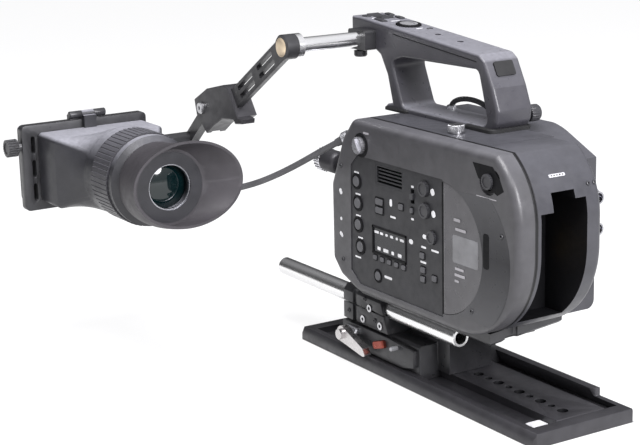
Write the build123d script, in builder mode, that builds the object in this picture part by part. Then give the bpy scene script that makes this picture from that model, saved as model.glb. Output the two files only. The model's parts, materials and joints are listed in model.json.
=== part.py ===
"""Cinema camera rig: shoulder-style camera body on a dovetail base plate with rods, top handle,
and an eyepiece monitor on a folding arm.

Frame: the origin is the centre of the dovetail plate's underside. +Y is the way the lens looks,
+X is the camera's right and +Z is up. All sizes are in millimetres.
"""
import os
from math import atan2, cos, degrees, pi, radians, sin, sqrt, tan

from build123d import *

os.makedirs("parts", exist_ok=True)

# ---------------------------------------------------------------- driving dimensions
plate_length = 304.8
plate_width = 92.0
plate_top = 11.0
lip_top = 16.5
channel_floor = 5.0
channel_end = 141.0
slide_gap = 0.3

rod_radius = 7.5
rod_bore = 5.1
rod_spread = 30.0
rod_z = 50.0
rod_rear = -47.5
rod_front = 203.0

body_bottom = 70.0
body_top = 204.0
body_front = 77.5
body_rear = -153.0
cover_left = -62.0
cover_right = -46.0
casing_left = -45.7
casing_right = 52.0
casing_rear = -100.0
rear_bend_z = 136.5
housing_right = 12.0
skin = 3.0

lens_z = rod_z + 85.0
throat_radius = 23.0

panel_face = -61.3
panel_back = -58.8
door_hinge_y = -71.5
door_centre = (-66.0, 128.0)
door_radius = 48.5

handle_half = 16.0
rod_axis = (91.0, 256.4)
finder_rod_radius = 6.0
arm_left = -95.0
arm_right = -84.0
elbow_pivot = (217.0, 193.5)
tilt_pivot = (256.0, 160.0)
flip_pivot = (236.5, 197.0)
eye_x = -190.0
eye_z = 160.0


# ---------------------------------------------------------------- helpers
def across(x):
    """Sketch plane whose own axes are Y and Z. It faces +X."""
    return Plane.YZ.offset(x)


def along(y):
    """Sketch plane whose own axes are X and Z. It faces the rear, -Y."""
    return Plane.XZ.offset(-y)


def keep(piece, name):
    """Label a finished piece and write it."""
    piece.part.label = name
    export_step(piece.part, f"parts/{name}.step")


def body_slab(left, right, inset):
    """The body's side outline, drawn in by inset, as a solid from x = left to x = right."""
    bend_radius = rear_bend_z - body_bottom
    bend_mid = (
        body_rear + bend_radius * (1 - cos(pi / 4)),
        rear_bend_z - bend_radius * sin(pi / 4),
    )
    with BuildPart() as slab:
        with BuildSketch(across(left)) as outline:
            with BuildLine():
                Line((44, body_bottom), (body_rear + bend_radius, body_bottom))
                ThreePointArc(
                    (body_rear + bend_radius, body_bottom), bend_mid, (body_rear, rear_bend_z)
                )
                Line((body_rear, rear_bend_z), (body_rear, 158))
                ThreePointArc((body_rear, 158), (-146.5, 183), (-128, body_top))
                Polyline(
                    (-128, body_top),
                    (47, body_top),
                    (61, 188),
                    (body_front, 150),
                    (body_front, 90),
                    (66, 78),
                    (44, body_bottom),
                )
            make_face()
            fillet([v for v in outline.vertices() if v.X > 40], radius=8)
            if inset:
                offset(amount=-inset, kind=Kind.INTERSECTION)
        extrude(amount=right - left)
    return slab.part


def turned(plane, profile):
    """A round piece about the plane's own x axis, from (distance along, radius) points."""
    with BuildPart() as piece:
        with BuildSketch(plane):
            with BuildLine():
                Polyline(*profile, close=True)
            make_face()
        revolve(axis=Axis(plane.origin, plane.x_dir))
    return piece


def side_turned(y, z, profile):
    """A round piece about an X-wise axis at (y, z). The profile gives (x, radius) points."""
    return turned(Plane(origin=(0, y, z), x_dir=(1, 0, 0), z_dir=(0, -1, 0)), profile)


def front_turned(x, z, profile):
    """A round piece about a Y-wise axis at (x, z). The profile gives (y, radius) points."""
    return turned(Plane(origin=(x, 0, z), x_dir=(0, 1, 0), z_dir=(1, 0, 0)), profile)


def upright_turned(x, y, profile):
    """A round piece about an upright axis at (x, y). The profile gives (z, radius) points."""
    return turned(Plane(origin=(x, y, 0), x_dir=(0, 0, 1), z_dir=(0, 1, 0)), profile)


# ---------------------------------------------------------------- dovetail plate
hole_pitch = 12.2
first_hole = -30.0
large_thread = 3.97
small_thread = 2.55

with BuildPart() as dovetail_plate:
    half = plate_width / 2
    with BuildSketch(along(plate_length / 2)):
        with BuildLine():
            Polyline(
                (-half, 0),
                (half, 0),
                (half, 5),
                (half - 2.5, 10.5),
                (2.5 - half, 10.5),
                (-half, 5),
                close=True,
            )
        make_face()
    extrude(amount=plate_length)
    # the tall right lip stops short of the rear end in a round nose
    with BuildSketch(Plane.XY.offset(10.5)):
        with BuildLine():
            Polyline((36.5, -110), (36.5, 152.4), (43.5, 152.4), (43.5, -118))
            ThreePointArc((43.5, -118), (38.6, -116), (36.5, -110))
        make_face()
    extrude(amount=lip_top - 10.5)
    # undercut channel each side of the middle platform
    with BuildSketch(along(channel_end)):
        with BuildLine():
            Polyline((-41, 5), (-17, 5), (-17, 17), (-37.5, 17), (-37.5, 10.5), close=True)
        make_face()
        with BuildLine():
            Polyline((27, 5), (41, 5), (36.5, 16.5), (36.5, 18), (27, 18), close=True)
        make_face()
    extrude(amount=2 * channel_end, mode=Mode.SUBTRACT)
    with BuildSketch(Plane.XY.offset(10.5)):
        with Locations((5, 0)):
            Rectangle(44, 2 * channel_end)
    extrude(amount=plate_top - 10.5)
    # one row of tapped holes behind the carriage and one in front, large and small in turn
    large_spots = [(0, first_hole - hole_pitch * i) for i in range(0, 9, 2)]
    small_spots = [(0, first_hole - hole_pitch * i) for i in range(1, 9, 2)]
    with BuildSketch(Plane.XY.offset(plate_top)):
        with Locations(*large_spots, *[(x, -y) for x, y in large_spots]):
            Circle(large_thread)
        with Locations(*small_spots, *[(x, -y) for x, y in small_spots]):
            Circle(small_thread)
    extrude(amount=-plate_top, mode=Mode.SUBTRACT)
    # broken corners at the rear end
    chamfer(dovetail_plate.edges().filter_by(Axis.Z).group_by(Axis.Y)[0], length=2)
keep(dovetail_plate, "dovetail_plate")

# ---------------------------------------------------------------- carriage
carriage_front = 96.0
carriage_top = 33.0
foot_rear = -5.0
riser_rear = -20.0
riser_front = 30.7
riser_half = 20.0
bridge_rear = -72.0
bridge_bottom = 52.0
foot_plate_bottom = 61.0

with BuildPart() as base_carriage:
    # feet that run in the plate's channels
    with BuildSketch(along(carriage_front)):
        with BuildLine():
            Polyline(
                (-40.4, 5 + slide_gap),
                (-17.4, 5 + slide_gap),
                (-17.4, plate_top + slide_gap),
                (27.4, plate_top + slide_gap),
                (27.4, 5 + slide_gap),
                (40.3, 5 + slide_gap),
                (36.0, 16.4),
                (36.0, carriage_top),
                (-37.0, carriage_top),
                (-37.0, 10.5),
                close=True,
            )
        make_face()
    extrude(amount=carriage_front - foot_rear)
    # riser between the rods, and the bridge under the camera foot that runs on to the rear
    with BuildSketch(across(-riser_half)):
        with BuildLine():
            Polyline(
                (riser_rear, 36),
                (riser_rear, plate_top + slide_gap),
                (riser_front, plate_top + slide_gap),
                (riser_front, foot_plate_bottom),
                (bridge_rear, foot_plate_bottom),
                (bridge_rear, bridge_bottom),
                (-48, bridge_bottom),
            )
            ThreePointArc((-48, bridge_bottom), (-30, 47), (riser_rear, 36))
        make_face()
    extrude(amount=2 * riser_half)
    # clamp jaw that stands out on the left, with a sloping rear end
    with BuildSketch(across(-41)):
        with BuildLine():
            Polyline((-2, 15.5), (-2, 29), (31, 31), (96, 31), (96, 12), (12, 12), close=True)
        make_face()
    extrude(amount=4.0)
    # arched hollow in each side of the riser
    with BuildSketch(across(-riser_half)) as arch:
        with BuildLine():
            ThreePointArc((26, 44), (-6, 56.5), (-34, 54.5))
            ThreePointArc((-34, 54.5), (-21, 48.5), (-12, 38))
            Polyline((-12, 38), (26, 38), (26, 44))
        make_face()
    extrude(amount=6, mode=Mode.SUBTRACT)
    with BuildSketch(across(riser_half - 6)):
        add(arch.sketch_local)
    extrude(amount=6, mode=Mode.SUBTRACT)
    chamfer(base_carriage.edges().filter_by(Axis.Y).filter_by_position(Axis.Z, 32, 34), length=1.5)
keep(base_carriage, "base_carriage")

# lock lever on the left side of the carriage, turning about an X-wise pin
lever_pivot = (84.0, 23.0)
with BuildPart() as carriage_lock_lever:
    with BuildSketch(across(-50.5)):
        with Locations(lever_pivot):
            Circle(6.5)
        with BuildLine():
            Polyline((86, 16.8), (82, 29), (54, 18.5), (50.5, 13), (54, 11.8), close=True)
        make_face()
    extrude(amount=6)
    with BuildSketch(across(-44.5)):
        with Locations(lever_pivot):
            Circle(4.5)
    extrude(amount=3.2)
    with BuildSketch(across(-53.5)):
        with Locations(lever_pivot):
            Circle(4.2)
    extrude(amount=3)
    fillet(carriage_lock_lever.edges().filter_by(Axis.X).filter_by_position(Axis.Y, 50, 56), radius=1)
keep(carriage_lock_lever, "carriage_lock_lever")

# ---------------------------------------------------------------- rod bracket and rods
bracket_rear = 31.0
bracket_top = 60.7
bracket_half = 40.0
bracket_screws = [(58.6, 48.5), (44, 37.5), (68, 37.5)]
with BuildPart() as rod_bracket:
    with BuildSketch(along(carriage_front)):
        with BuildLine():
            Polyline(
                (-bracket_half, carriage_top),
                (bracket_half, carriage_top),
                (bracket_half, 56),
                (bracket_half - 4, bracket_top),
                (4 - bracket_half, bracket_top),
                (-bracket_half, 56),
                close=True,
            )
        make_face()
        with Locations((-rod_spread, rod_z), (rod_spread, rod_z)):
            Circle(rod_radius, mode=Mode.SUBTRACT)
        # saw cut that lets each clamp close on its rod
        with Locations((-rod_spread - 7, rod_z - 3), (rod_spread + 7, rod_z - 3)):
            Rectangle(8, 1.2, mode=Mode.SUBTRACT)
    extrude(amount=carriage_front - bracket_rear)
    # sloping rear face
    with BuildSketch(across(-bracket_half)):
        with BuildLine():
            Polyline((30, 62), (46, 62), (33.5, 32.9), (30, 32.9), close=True)
        make_face()
    extrude(amount=2 * bracket_half, mode=Mode.SUBTRACT)
    # upright groove and a weight-saving pocket
    with Locations((-bracket_half, 80, 47)):
        Box(5, 5, 30, mode=Mode.SUBTRACT)
    with BuildSketch(along(carriage_front)):
        with Locations((0, 47)):
            SlotOverall(34, 12)
    extrude(amount=10, mode=Mode.SUBTRACT)
    # side screw seats
    with BuildSketch(across(-bracket_half)):
        with Locations(*bracket_screws):
            Circle(3.1)
    extrude(amount=2, mode=Mode.SUBTRACT)
keep(rod_bracket, "rod_bracket")

with BuildPart() as socket_screws:
    with BuildSketch(across(-bracket_half - 0.6)):
        with Locations(*bracket_screws):
            Circle(3.0)
            RegularPolygon(1.5, 6, mode=Mode.SUBTRACT)
    extrude(amount=2.6)
keep(socket_screws, "socket_screws")

for side, name in ((-1, "rod_left"), (1, "rod_right")):
    rod = front_turned(
        side * rod_spread,
        rod_z,
        [
            (rod_rear, rod_bore),
            (rod_rear, rod_radius - 0.6),
            (rod_rear + 0.6, rod_radius),
            (rod_front - 0.6, rod_radius),
            (rod_front, rod_radius - 0.6),
            (rod_front, rod_bore),
        ],
    )
    keep(rod, name)

# ---------------------------------------------------------------- camera foot plate
with BuildPart() as camera_foot_plate:
    with BuildSketch(Plane.XY.offset(foot_plate_bottom)):
        with BuildLine():
            Polyline((-46, -103), (32, -88), (32, 74), (-42, 74), (-46, 60), close=True)
        make_face()
        with Locations((-24, -98)):
            SlotOverall(14, 4.6, rotation=11, mode=Mode.SUBTRACT)
    extrude(amount=body_bottom - foot_plate_bottom)
    chamfer(camera_foot_plate.faces().sort_by(Axis.Z)[0].edges(), length=1.6)
keep(camera_foot_plate, "camera_foot_plate")

# ---------------------------------------------------------------- left cover
panel_outline = [(48, 169), (39, 177.5), (-69.3, 177.5), (-69.3, 77), (38, 77), (50, 86)]
nd_spot = (33.4, 186.0)
rear_knob_spot = (-121.0, 185.0)

cover_outer = body_slab(cover_left, cover_right, 0)
cover_inner = body_slab(cover_left + skin, cover_right, skin)
with BuildPart() as left_cover:
    add(cover_outer)
    fillet(left_cover.faces().sort_by(Axis.X)[0].edges(), radius=5.5)
    add(cover_inner, mode=Mode.SUBTRACT)
    # window for the control panel and the media door
    with BuildSketch(across(cover_left)):
        with BuildLine():
            Polyline(*panel_outline, close=True)
        make_face()
        with Locations(door_centre):
            Circle(door_radius)
        with Locations((-20, 128)):
            Rectangle(98, 97)
    extrude(amount=skin + 0.5, mode=Mode.SUBTRACT)
    # recess and bore of the rear knob, and bore of the filter dial
    with BuildSketch(across(cover_left)):
        with Locations(rear_knob_spot):
            Circle(9.5)
        with Locations((rear_knob_spot[0] - 6, rear_knob_spot[1] + 2)):
            Circle(7)
    extrude(amount=1.8, mode=Mode.SUBTRACT)
    with BuildSketch(across(cover_left)):
        with Locations(rear_knob_spot):
            Circle(5.8)
        with Locations(nd_spot):
            Circle(6.8)
    extrude(amount=skin + 1, mode=Mode.SUBTRACT)
keep(left_cover, "left_cover")

# ---------------------------------------------------------------- control panel and its controls
assign_spots = [(41, 157), (39.6, 140.4), (39.5, 123.7), (37, 106.8)]
audio_spots = [(-47, 166.8), (-48, 151)]
jog_spot = (-56, 132.8)
menu_spot = (13.9, 88.8)
gain_spot = (-32, 158.5)
vent_centre = (-2.5, 167.3)
vent_size = (35, 14.8)
display_centre = (-1.5, 116.5)
display_size = (42, 19)

with BuildPart() as control_panel:
    with BuildSketch(across(panel_face)):
        with BuildLine():
            Polyline(*panel_outline, close=True)
        make_face()
        offset(amount=-0.15)
    extrude(amount=panel_back - panel_face)
    # flange that bears on the inside of the cover
    with BuildSketch(across(panel_back)):
        with BuildLine():
            Polyline(
                (50, 170), (40, 179), (-68, 179), (-68, 74.5), (40, 74.5), (53, 84), close=True
            )
        make_face()
    extrude(amount=1.5)
    # bores for the buttons and dials, and windows for the grille and the slide switch
    with BuildSketch(across(panel_face)):
        with Locations(*assign_spots):
            Circle(4.4)
        with Locations(*audio_spots):
            Circle(5.9)
        with Locations(jog_spot):
            Circle(5.3)
        with Locations(menu_spot):
            Circle(3.9)
        with Locations(gain_spot):
            Rectangle(4.6, 10.6)
        with Locations(vent_centre):
            Rectangle(vent_size[0] + 0.2, vent_size[1] + 0.2)
    extrude(amount=5, mode=Mode.SUBTRACT)
    with BuildSketch(across(panel_face)):
        with Locations(display_centre):
            Rectangle(display_size[0] + 0.2, display_size[1] + 0.2)
    extrude(amount=1.8, mode=Mode.SUBTRACT)
keep(control_panel, "control_panel")

with BuildPart() as vent_grille:
    with BuildSketch(across(panel_face + 0.1)):
        with Locations(vent_centre):
            Rectangle(*vent_size)
            Rectangle(vent_size[0] - 3, vent_size[1] - 2.4, mode=Mode.SUBTRACT)
    extrude(amount=3.6)
    with BuildSketch(across(panel_face + 0.9)):
        with Locations(vent_centre):
            with GridLocations(0, 2.7, 1, 4):
                Rectangle(vent_size[0] - 2, 1.1)
    extrude(amount=2.2)
keep(vent_grille, "vent_grille")

with BuildPart() as status_display:
    with BuildSketch(across(panel_face + 0.3)):
        with Locations(display_centre):
            Rectangle(*display_size)
    extrude(amount=1.4)
    chamfer(status_display.faces().sort_by(Axis.X)[0].edges(), length=0.3)
keep(status_display, "status_display")


def push_button(spot, radius, proud):
    """A round button with a collar behind the panel that keeps it in."""
    collar = panel_back + 1.6
    return side_turned(
        *spot,
        [
            (panel_face - proud, 0),
            (panel_face - proud, radius - 0.5),
            (panel_face - proud + 0.5, radius),
            (collar, radius),
            (collar, radius + 0.9),
            (collar + 1.2, radius + 0.9),
            (collar + 1.2, 0),
        ],
    )


def ribbed_dial(spot, radius, face, back, ribs):
    """A dial with finger ribs round its rim and a shallow dish in its face."""
    y, z = spot
    with BuildPart() as dial:
        with BuildSketch(across(face)):
            with Locations(spot):
                Circle(radius)
                with PolarLocations(radius, ribs):
                    Circle(0.35, mode=Mode.SUBTRACT)
        extrude(amount=back - face)
        with BuildSketch(across(face)):
            with Locations((y, z)):
                Circle(radius - 1.6)
        extrude(amount=0.5, mode=Mode.SUBTRACT)
    return dial


for number, spot in enumerate(assign_spots, start=1):
    keep(push_button(spot, 4.1, 1.3), f"assign_button_{number}")
keep(push_button(menu_spot, 3.6, 0.9), "menu_button")
for number, spot in enumerate(audio_spots, start=1):
    keep(ribbed_dial(spot, 5.6, panel_face - 2.6, -56.5, 24), f"audio_dial_{number}")
keep(ribbed_dial(jog_spot, 5.0, panel_face - 2.2, -56.5, 18), "jog_dial")
keep(ribbed_dial(rear_knob_spot, 5.5, cover_left - 2.0, -56.5, 20), "rear_knob")

with BuildPart() as nd_dial:
    with BuildSketch(across(cover_left - 4.0)):
        with Locations(nd_spot):
            Circle(6.5)
            with PolarLocations(6.5, 16):
                Circle(0.5, mode=Mode.SUBTRACT)
    extrude(amount=9.5)
    # finger bar across the dial's face
    with BuildSketch(across(cover_left - 5.4)):
        with Locations(nd_spot):
            SlotOverall(11.5, 3.4, rotation=60)
    extrude(amount=1.5)
keep(nd_dial, "nd_dial")

with BuildPart() as gain_switch:
    with BuildSketch(across(panel_face - 1.6)):
        with Locations(gain_spot):
            RectangleRounded(3.9, 4.4, 0.6)
    extrude(amount=6.3)
    with BuildSketch(across(panel_back + 1.9)):
        with Locations(gain_spot):
            Rectangle(8, 9)
    extrude(amount=1.0)
keep(gain_switch, "gain_switch")

# ---------------------------------------------------------------- media door
with BuildPart() as media_door:
    with BuildSketch(across(cover_left + 0.4)):
        with Locations(door_centre):
            Circle(door_radius - 0.4)
        with Locations((door_hinge_y + 1.6 + 50, door_centre[1])):
            Rectangle(100, 120, mode=Mode.SUBTRACT)
        with Locations((-95, 130.5)):
            RectangleRounded(29.2, 20.4, 2, mode=Mode.SUBTRACT)
    extrude(amount=2.4)
    # round hinge bead down the front edge
    with BuildSketch(Plane.XY.offset(92)):
        with Locations((cover_left + 1.6, door_hinge_y)):
            Circle(1.5)
    extrude(amount=72)
keep(media_door, "media_door")

with BuildPart() as door_window:
    with BuildSketch(across(cover_left + 0.3)):
        with Locations((-95, 130.5)):
            RectangleRounded(29.0, 20.2, 1.9)
    extrude(amount=1.6)
keep(door_window, "door_window")

with BuildPart() as card_slots:
    with BuildSketch(across(-56)):
        with Locations((-93, 128)):
            RectangleRounded(26, 62, 2)
        with Locations((-89, 128), (-98, 128)):
            Rectangle(3.4, 46, mode=Mode.SUBTRACT)
    extrude(amount=7)
    with BuildSketch(across(-49)):
        with Locations((-93, 128)):
            Rectangle(26, 62)
    extrude(amount=1.5)
keep(card_slots, "card_slots")

# ---------------------------------------------------------------- main casing
casing_outer = body_slab(casing_left, casing_right, 0)
casing_inner = body_slab(casing_left, casing_right - skin, skin)
# the top face falls away beside the rear housing, and the cavity keeps the skin's thickness there
rear_corner = [(-55, body_top), (casing_rear, 184), (-120, 184), (-120, 220), (-55, 220)]
with BuildPart() as casing_block:
    add(casing_outer)
    fillet(casing_block.faces().sort_by(Axis.X)[-1].edges(), radius=6.5)
    with Locations((0, casing_rear - 50, 130)):
        Box(200, 100, 200, mode=Mode.SUBTRACT)
    with BuildSketch(across(housing_right + 0.3)):
        with BuildLine():
            Polyline(*rear_corner, close=True)
        make_face()
    extrude(amount=60, mode=Mode.SUBTRACT)
with BuildPart() as casing_cavity:
    add(casing_inner)
    with Locations((0, casing_rear + skin - 50, 130)):
        Box(200, 100, 200, mode=Mode.SUBTRACT)
    with BuildSketch(across(housing_right + 0.3 - skin)):
        with BuildLine():
            Polyline(*[(y + 1.2, z - 2.7) for y, z in rear_corner], close=True)
        make_face()
    extrude(amount=60, mode=Mode.SUBTRACT)
with BuildPart() as body_casing:
    add(casing_block.part)
    add(casing_cavity.part, mode=Mode.SUBTRACT)
    # light path to the sensor
    with BuildSketch(along(body_front + 5)):
        with Locations((0, lens_z)):
            Circle(throat_radius + 1)
    extrude(amount=25, mode=Mode.SUBTRACT)
keep(body_casing, "body_casing")

with BuildPart() as main_board:
    with BuildSketch(across(-38)):
        with Locations((-20, 137)):
            Rectangle(126, 108)
    extrude(amount=1.6)
    with BuildSketch(across(-36.4)):
        with Locations((-45, 150)):
            Rectangle(30, 30)
        with Locations((0, 160), (5, 110), (-50, 105)):
            Rectangle(16, 22)
    extrude(amount=3)
keep(main_board, "main_board")

with BuildPart() as sensor_block:
    with BuildSketch(along(54)):
        with Locations((0, lens_z)):
            RectangleRounded(52, 46, 3)
    extrude(amount=6)
    with BuildSketch(along(48)):
        with Locations((0, lens_z)):
            Rectangle(44, 40)
    extrude(amount=22)
    with BuildSketch(along(54)):
        with Locations((0, lens_z)):
            Rectangle(24, 13)
    extrude(amount=2, mode=Mode.SUBTRACT)
keep(sensor_block, "sensor_block")

# ---------------------------------------------------------------- filter wheel behind the lens mount
filter_offset = 19.0
wheel_z = lens_z - filter_offset
with BuildPart() as nd_filter_wheel:
    with BuildSketch(along(63.5)):
        with Locations((0, wheel_z)):
            Circle(33.5)
            with PolarLocations(filter_offset, 4, start_angle=90):
                Circle(11.5, mode=Mode.SUBTRACT)
    extrude(amount=2.5)
    # three of the four places hold a filter, and one stays clear
    with BuildSketch(along(62.8)):
        with Locations((0, wheel_z)):
            with PolarLocations(filter_offset, 3, start_angle=180, angular_range=180, endpoint=True):
                Circle(11.5)
    extrude(amount=1.2)
    with BuildSketch(along(66)):
        with Locations((0, wheel_z)):
            Circle(4.5)
    extrude(amount=7)
keep(nd_filter_wheel, "nd_filter_wheel")

# ---------------------------------------------------------------- lens mount
mount_front = 94.0
with BuildPart() as lens_mount_ring:
    with BuildSketch(along(mount_front)):
        with Locations((0, lens_z)):
            Circle(36)
            Circle(throat_radius, mode=Mode.SUBTRACT)
    extrude(amount=mount_front - 60)
    add(casing_outer, mode=Mode.SUBTRACT)
    # bayonet flange in front of the lock ring
    with BuildSketch(along(mount_front + 9)):
        with Locations((0, lens_z)):
            Circle(30)
            Circle(throat_radius, mode=Mode.SUBTRACT)
    extrude(amount=9)
    with BuildSketch(along(mount_front + 11)):
        with Locations((0, lens_z)):
            Circle(33.5)
            Circle(throat_radius, mode=Mode.SUBTRACT)
    extrude(amount=2)
keep(lens_mount_ring, "lens_mount_ring")

lock_knob = (-43.0, 160.0)
# round grip that lies along the lens axis at the lever's end, with a domed rear end
knob_grip = front_turned(
    *lock_knob,
    [(92, 0), (92, 5.5), (93, 7.5), (95.5, 9), (116, 9), (116, 7.6), (120, 7.6), (120, 0)],
)
with BuildPart() as lens_lock_lever:
    with BuildSketch(along(mount_front + 8.6)):
        with Locations((0, lens_z)):
            Circle(37)
        with BuildLine():
            Polyline((-34, 145), (-47, 154), (-39, 168), (-24, 163), close=True)
        make_face()
        with Locations((0, lens_z)):
            Circle(30.3, mode=Mode.SUBTRACT)
            with PolarLocations(37, 36):
                Circle(0.9, mode=Mode.SUBTRACT)
    extrude(amount=8.2)
    add(knob_grip.part)
keep(lens_lock_lever, "lens_lock_lever")

# ---------------------------------------------------------------- rear housing and its battery bay
housing_outer = body_slab(casing_left, housing_right, 0)
with BuildPart() as rear_housing:
    add(housing_outer)
    fillet(rear_housing.faces().sort_by(Axis.X)[-1].edges(), radius=5)
    with Locations((0, casing_rear - 0.3 + 150, 130)):
        Box(200, 300, 200, mode=Mode.SUBTRACT)
    # battery bay, open to the rear and through the curved underside
    with BuildSketch(along(-109)):
        with BuildLine():
            Polyline(
                (-42, 60),
                (-2, 60),
                (-2, 172),
                (-11, 172),
                (-11, 178),
                (-31, 178),
                (-31, 165),
                (-42, 165),
                close=True,
            )
        make_face()
        with Locations((-22, 60)):
            Rectangle(60, 48, mode=Mode.SUBTRACT)
    extrude(amount=60, mode=Mode.SUBTRACT)
    # hollow above the bay, open towards the main casing
    with Locations((-17, -113.5, 191)):
        Box(50, 29, 14, mode=Mode.SUBTRACT)
keep(rear_housing, "rear_housing")

with BuildPart() as battery_contacts:
    with Locations((-22, -110.5, 128)):
        Box(22, 3, 16)
    with BuildSketch(along(-112)):
        with Locations((-22, 128)):
            with GridLocations(5, 0, 4, 1):
                Rectangle(1.6, 11)
    extrude(amount=1.6)
keep(battery_contacts, "battery_contacts")

# ---------------------------------------------------------------- connectors on the right side
with BuildPart() as xlr_connectors:
    with BuildSketch(across(casing_right)):
        with Locations((-36, 150), (-68, 150)):
            Circle(12)
    extrude(amount=5)
    with BuildSketch(across(casing_right + 5)):
        with Locations((-36, 150), (-68, 150)):
            Circle(9.4)
    extrude(amount=-4, mode=Mode.SUBTRACT)
    with BuildSketch(across(casing_right + 1)):
        with Locations((-36, 150), (-68, 150)):
            Circle(6.5)
            with PolarLocations(3.6, 3, start_angle=90):
                Circle(1.2, mode=Mode.SUBTRACT)
    extrude(amount=3)
keep(xlr_connectors, "xlr_connectors")

bnc_spots = [(44.5, 157.0), (44.5, 134.0)]
with BuildPart() as bnc_connectors:
    with BuildSketch(along(casing_rear)):
        with Locations(*bnc_spots):
            Circle(4.8)
    extrude(amount=12)
    with BuildSketch(along(casing_rear - 3)):
        with Locations(*bnc_spots):
            Circle(6.4)
    extrude(amount=3)
    with BuildSketch(along(casing_rear - 12)):
        with Locations(*bnc_spots):
            Circle(3.6)
    extrude(amount=-8, mode=Mode.SUBTRACT)
    with BuildSketch(along(casing_rear - 4)):
        with Locations(*bnc_spots):
            Circle(1.2)
    extrude(amount=6)
keep(bnc_connectors, "bnc_connectors")

# ---------------------------------------------------------------- handle
grip_slope = 13.0 / 143.0
bar_rear = (-50.0, 258.5)


def bar_top(y):
    """Height of the handle's sloping top face."""
    return bar_rear[1] + (y - bar_rear[0]) * grip_slope


handle_outline = [
    (-64, body_top),
    (66, body_top),
    (66, 208),
    (59, 209),
    (65.5, 230.5),
    (74.5, 245),
    (86, 250.5),
    (114, 260.5),
    (114, 272),
    (98.5, 272),
    bar_rear,
    (-56, 254.5),
    (-66, 236),
    (-72.5, 220),
    (-71, 211),
]
window_outline = [(45, 208), (60, 242), (44, 246), (-49, 247.5), (-61, 207.5)]
with BuildPart() as handle_slab:
    with BuildSketch(across(-handle_half)) as handle_sketch:
        with BuildLine():
            Polyline(*handle_outline, close=True)
        make_face()
        fillet([v for v in handle_sketch.vertices() if 209.5 < v.Y < 262 and v.X != 114], radius=5)
    extrude(amount=2 * handle_half)
record_y = 58.0
record_plane = Plane(origin=(0, record_y, bar_top(record_y)), z_dir=(0, -grip_slope, 1))
rocker_y = 97.0
with BuildPart() as handle:
    add(handle_slab.part)
    with BuildSketch(across(-handle_half)) as window_sketch:
        with BuildLine():
            Polyline(*window_outline, close=True)
        make_face()
        fillet(window_sketch.vertices(), radius=6)
    extrude(amount=2 * handle_half, mode=Mode.SUBTRACT)
    side_faces = handle.faces().filter_by(Axis.X)
    long_edges = side_faces.edges().filter_by_position(Axis.Z, 207.5, 270)
    fillet(long_edges, radius=2.6)
    # saddle for the finder rod
    with BuildSketch(across(-handle_half)):
        with Locations(rod_axis):
            Circle(finder_rod_radius + 0.05)
    extrude(amount=2 * handle_half, mode=Mode.SUBTRACT)
    # button bore and rocker pocket
    with BuildSketch(record_plane):
        Circle(7.3)
    extrude(amount=-6, mode=Mode.SUBTRACT)
    with Locations((0, rocker_y, 269.5)):
        Box(12.6, 22.6, 7, mode=Mode.SUBTRACT)
    # accessory threads in the top face
    with BuildSketch(Plane.XY.offset(275)):
        with Locations((0, -8), (0, 20)):
            Circle(small_thread)
    extrude(amount=-23, mode=Mode.SUBTRACT)
keep(handle, "handle")

rear_slope = Plane(origin=(0, -59.35, 248.3), x_dir=(1, 0, 0), z_dir=(0, -18.5, 10))
with BuildPart() as handle_pad:
    with BuildSketch(rear_slope):
        RectangleRounded(17, 11, 1.5)
    extrude(amount=1.2)
keep(handle_pad, "handle_pad")

with BuildPart() as record_button:
    with BuildSketch(record_plane.offset(-4)):
        Circle(7)
    extrude(amount=5.6)
    with BuildSketch(record_plane.offset(1.6)):
        Circle(4.6)
    extrude(amount=-0.5, mode=Mode.SUBTRACT)
keep(record_button, "record_button")

with BuildPart() as zoom_rocker:
    with BuildSketch(across(-6)):
        with BuildLine():
            Polyline((rocker_y - 10.5, 268.6), (rocker_y + 10.5, 268.6), (rocker_y + 10.5, 273.4))
            ThreePointArc(
                (rocker_y + 10.5, 273.4), (rocker_y, 271.8), (rocker_y - 10.5, 273.4)
            )
            Line((rocker_y - 10.5, 273.4), (rocker_y - 10.5, 268.6))
        make_face()
    extrude(amount=12)
    chamfer(zoom_rocker.faces().filter_by(Axis.X).edges().filter_by_position(Axis.Z, 271, 273), length=0.6)
keep(zoom_rocker, "zoom_rocker")

screw_spot = (-34.0, -48.0)
with BuildPart() as handle_thumb_screw:
    with BuildSketch(Plane.XY.offset(body_top + 0.4)):
        with Locations(screw_spot):
            Circle(5.4)
    extrude(amount=1.2)
    with BuildSketch(Plane.XY.offset(body_top + 1.6)):
        with Locations(screw_spot):
            Circle(6.0)
            with PolarLocations(6.0, 24):
                Circle(0.45, mode=Mode.SUBTRACT)
    extrude(amount=4.6)
    chamfer(handle_thumb_screw.faces().sort_by(Axis.Z)[-1].edges(), length=0.35)
keep(handle_thumb_screw, "handle_thumb_screw")

# ---------------------------------------------------------------- finder clamp and rod
clamp_left = -26.0
clamp_bottom = 248.5
clamp_height = 15.5
with BuildPart() as finder_clamp:
    with BuildSketch(across(clamp_left)):
        with Locations((91.5, clamp_bottom + clamp_height / 2)):
            RectangleRounded(24, clamp_height, 2)
    extrude(amount=14 - clamp_left)
    add(handle_slab.part, mode=Mode.SUBTRACT)
    with BuildSketch(across(clamp_left)):
        with Locations(rod_axis):
            Circle(finder_rod_radius + 0.05)
    extrude(amount=50, mode=Mode.SUBTRACT)
keep(finder_clamp, "finder_clamp")

clamp_knob = upright_turned(
    -19.5,
    96,
    [
        (clamp_bottom - 6.3, 0),
        (clamp_bottom - 6.3, 4.4),
        (clamp_bottom - 5.3, 5.2),
        (clamp_bottom - 1.8, 5.2),
        (clamp_bottom - 1.3, 3),
        (clamp_bottom - 0.3, 3),
        (clamp_bottom - 0.3, 0),
    ],
)
keep(clamp_knob, "clamp_knob")

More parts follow.
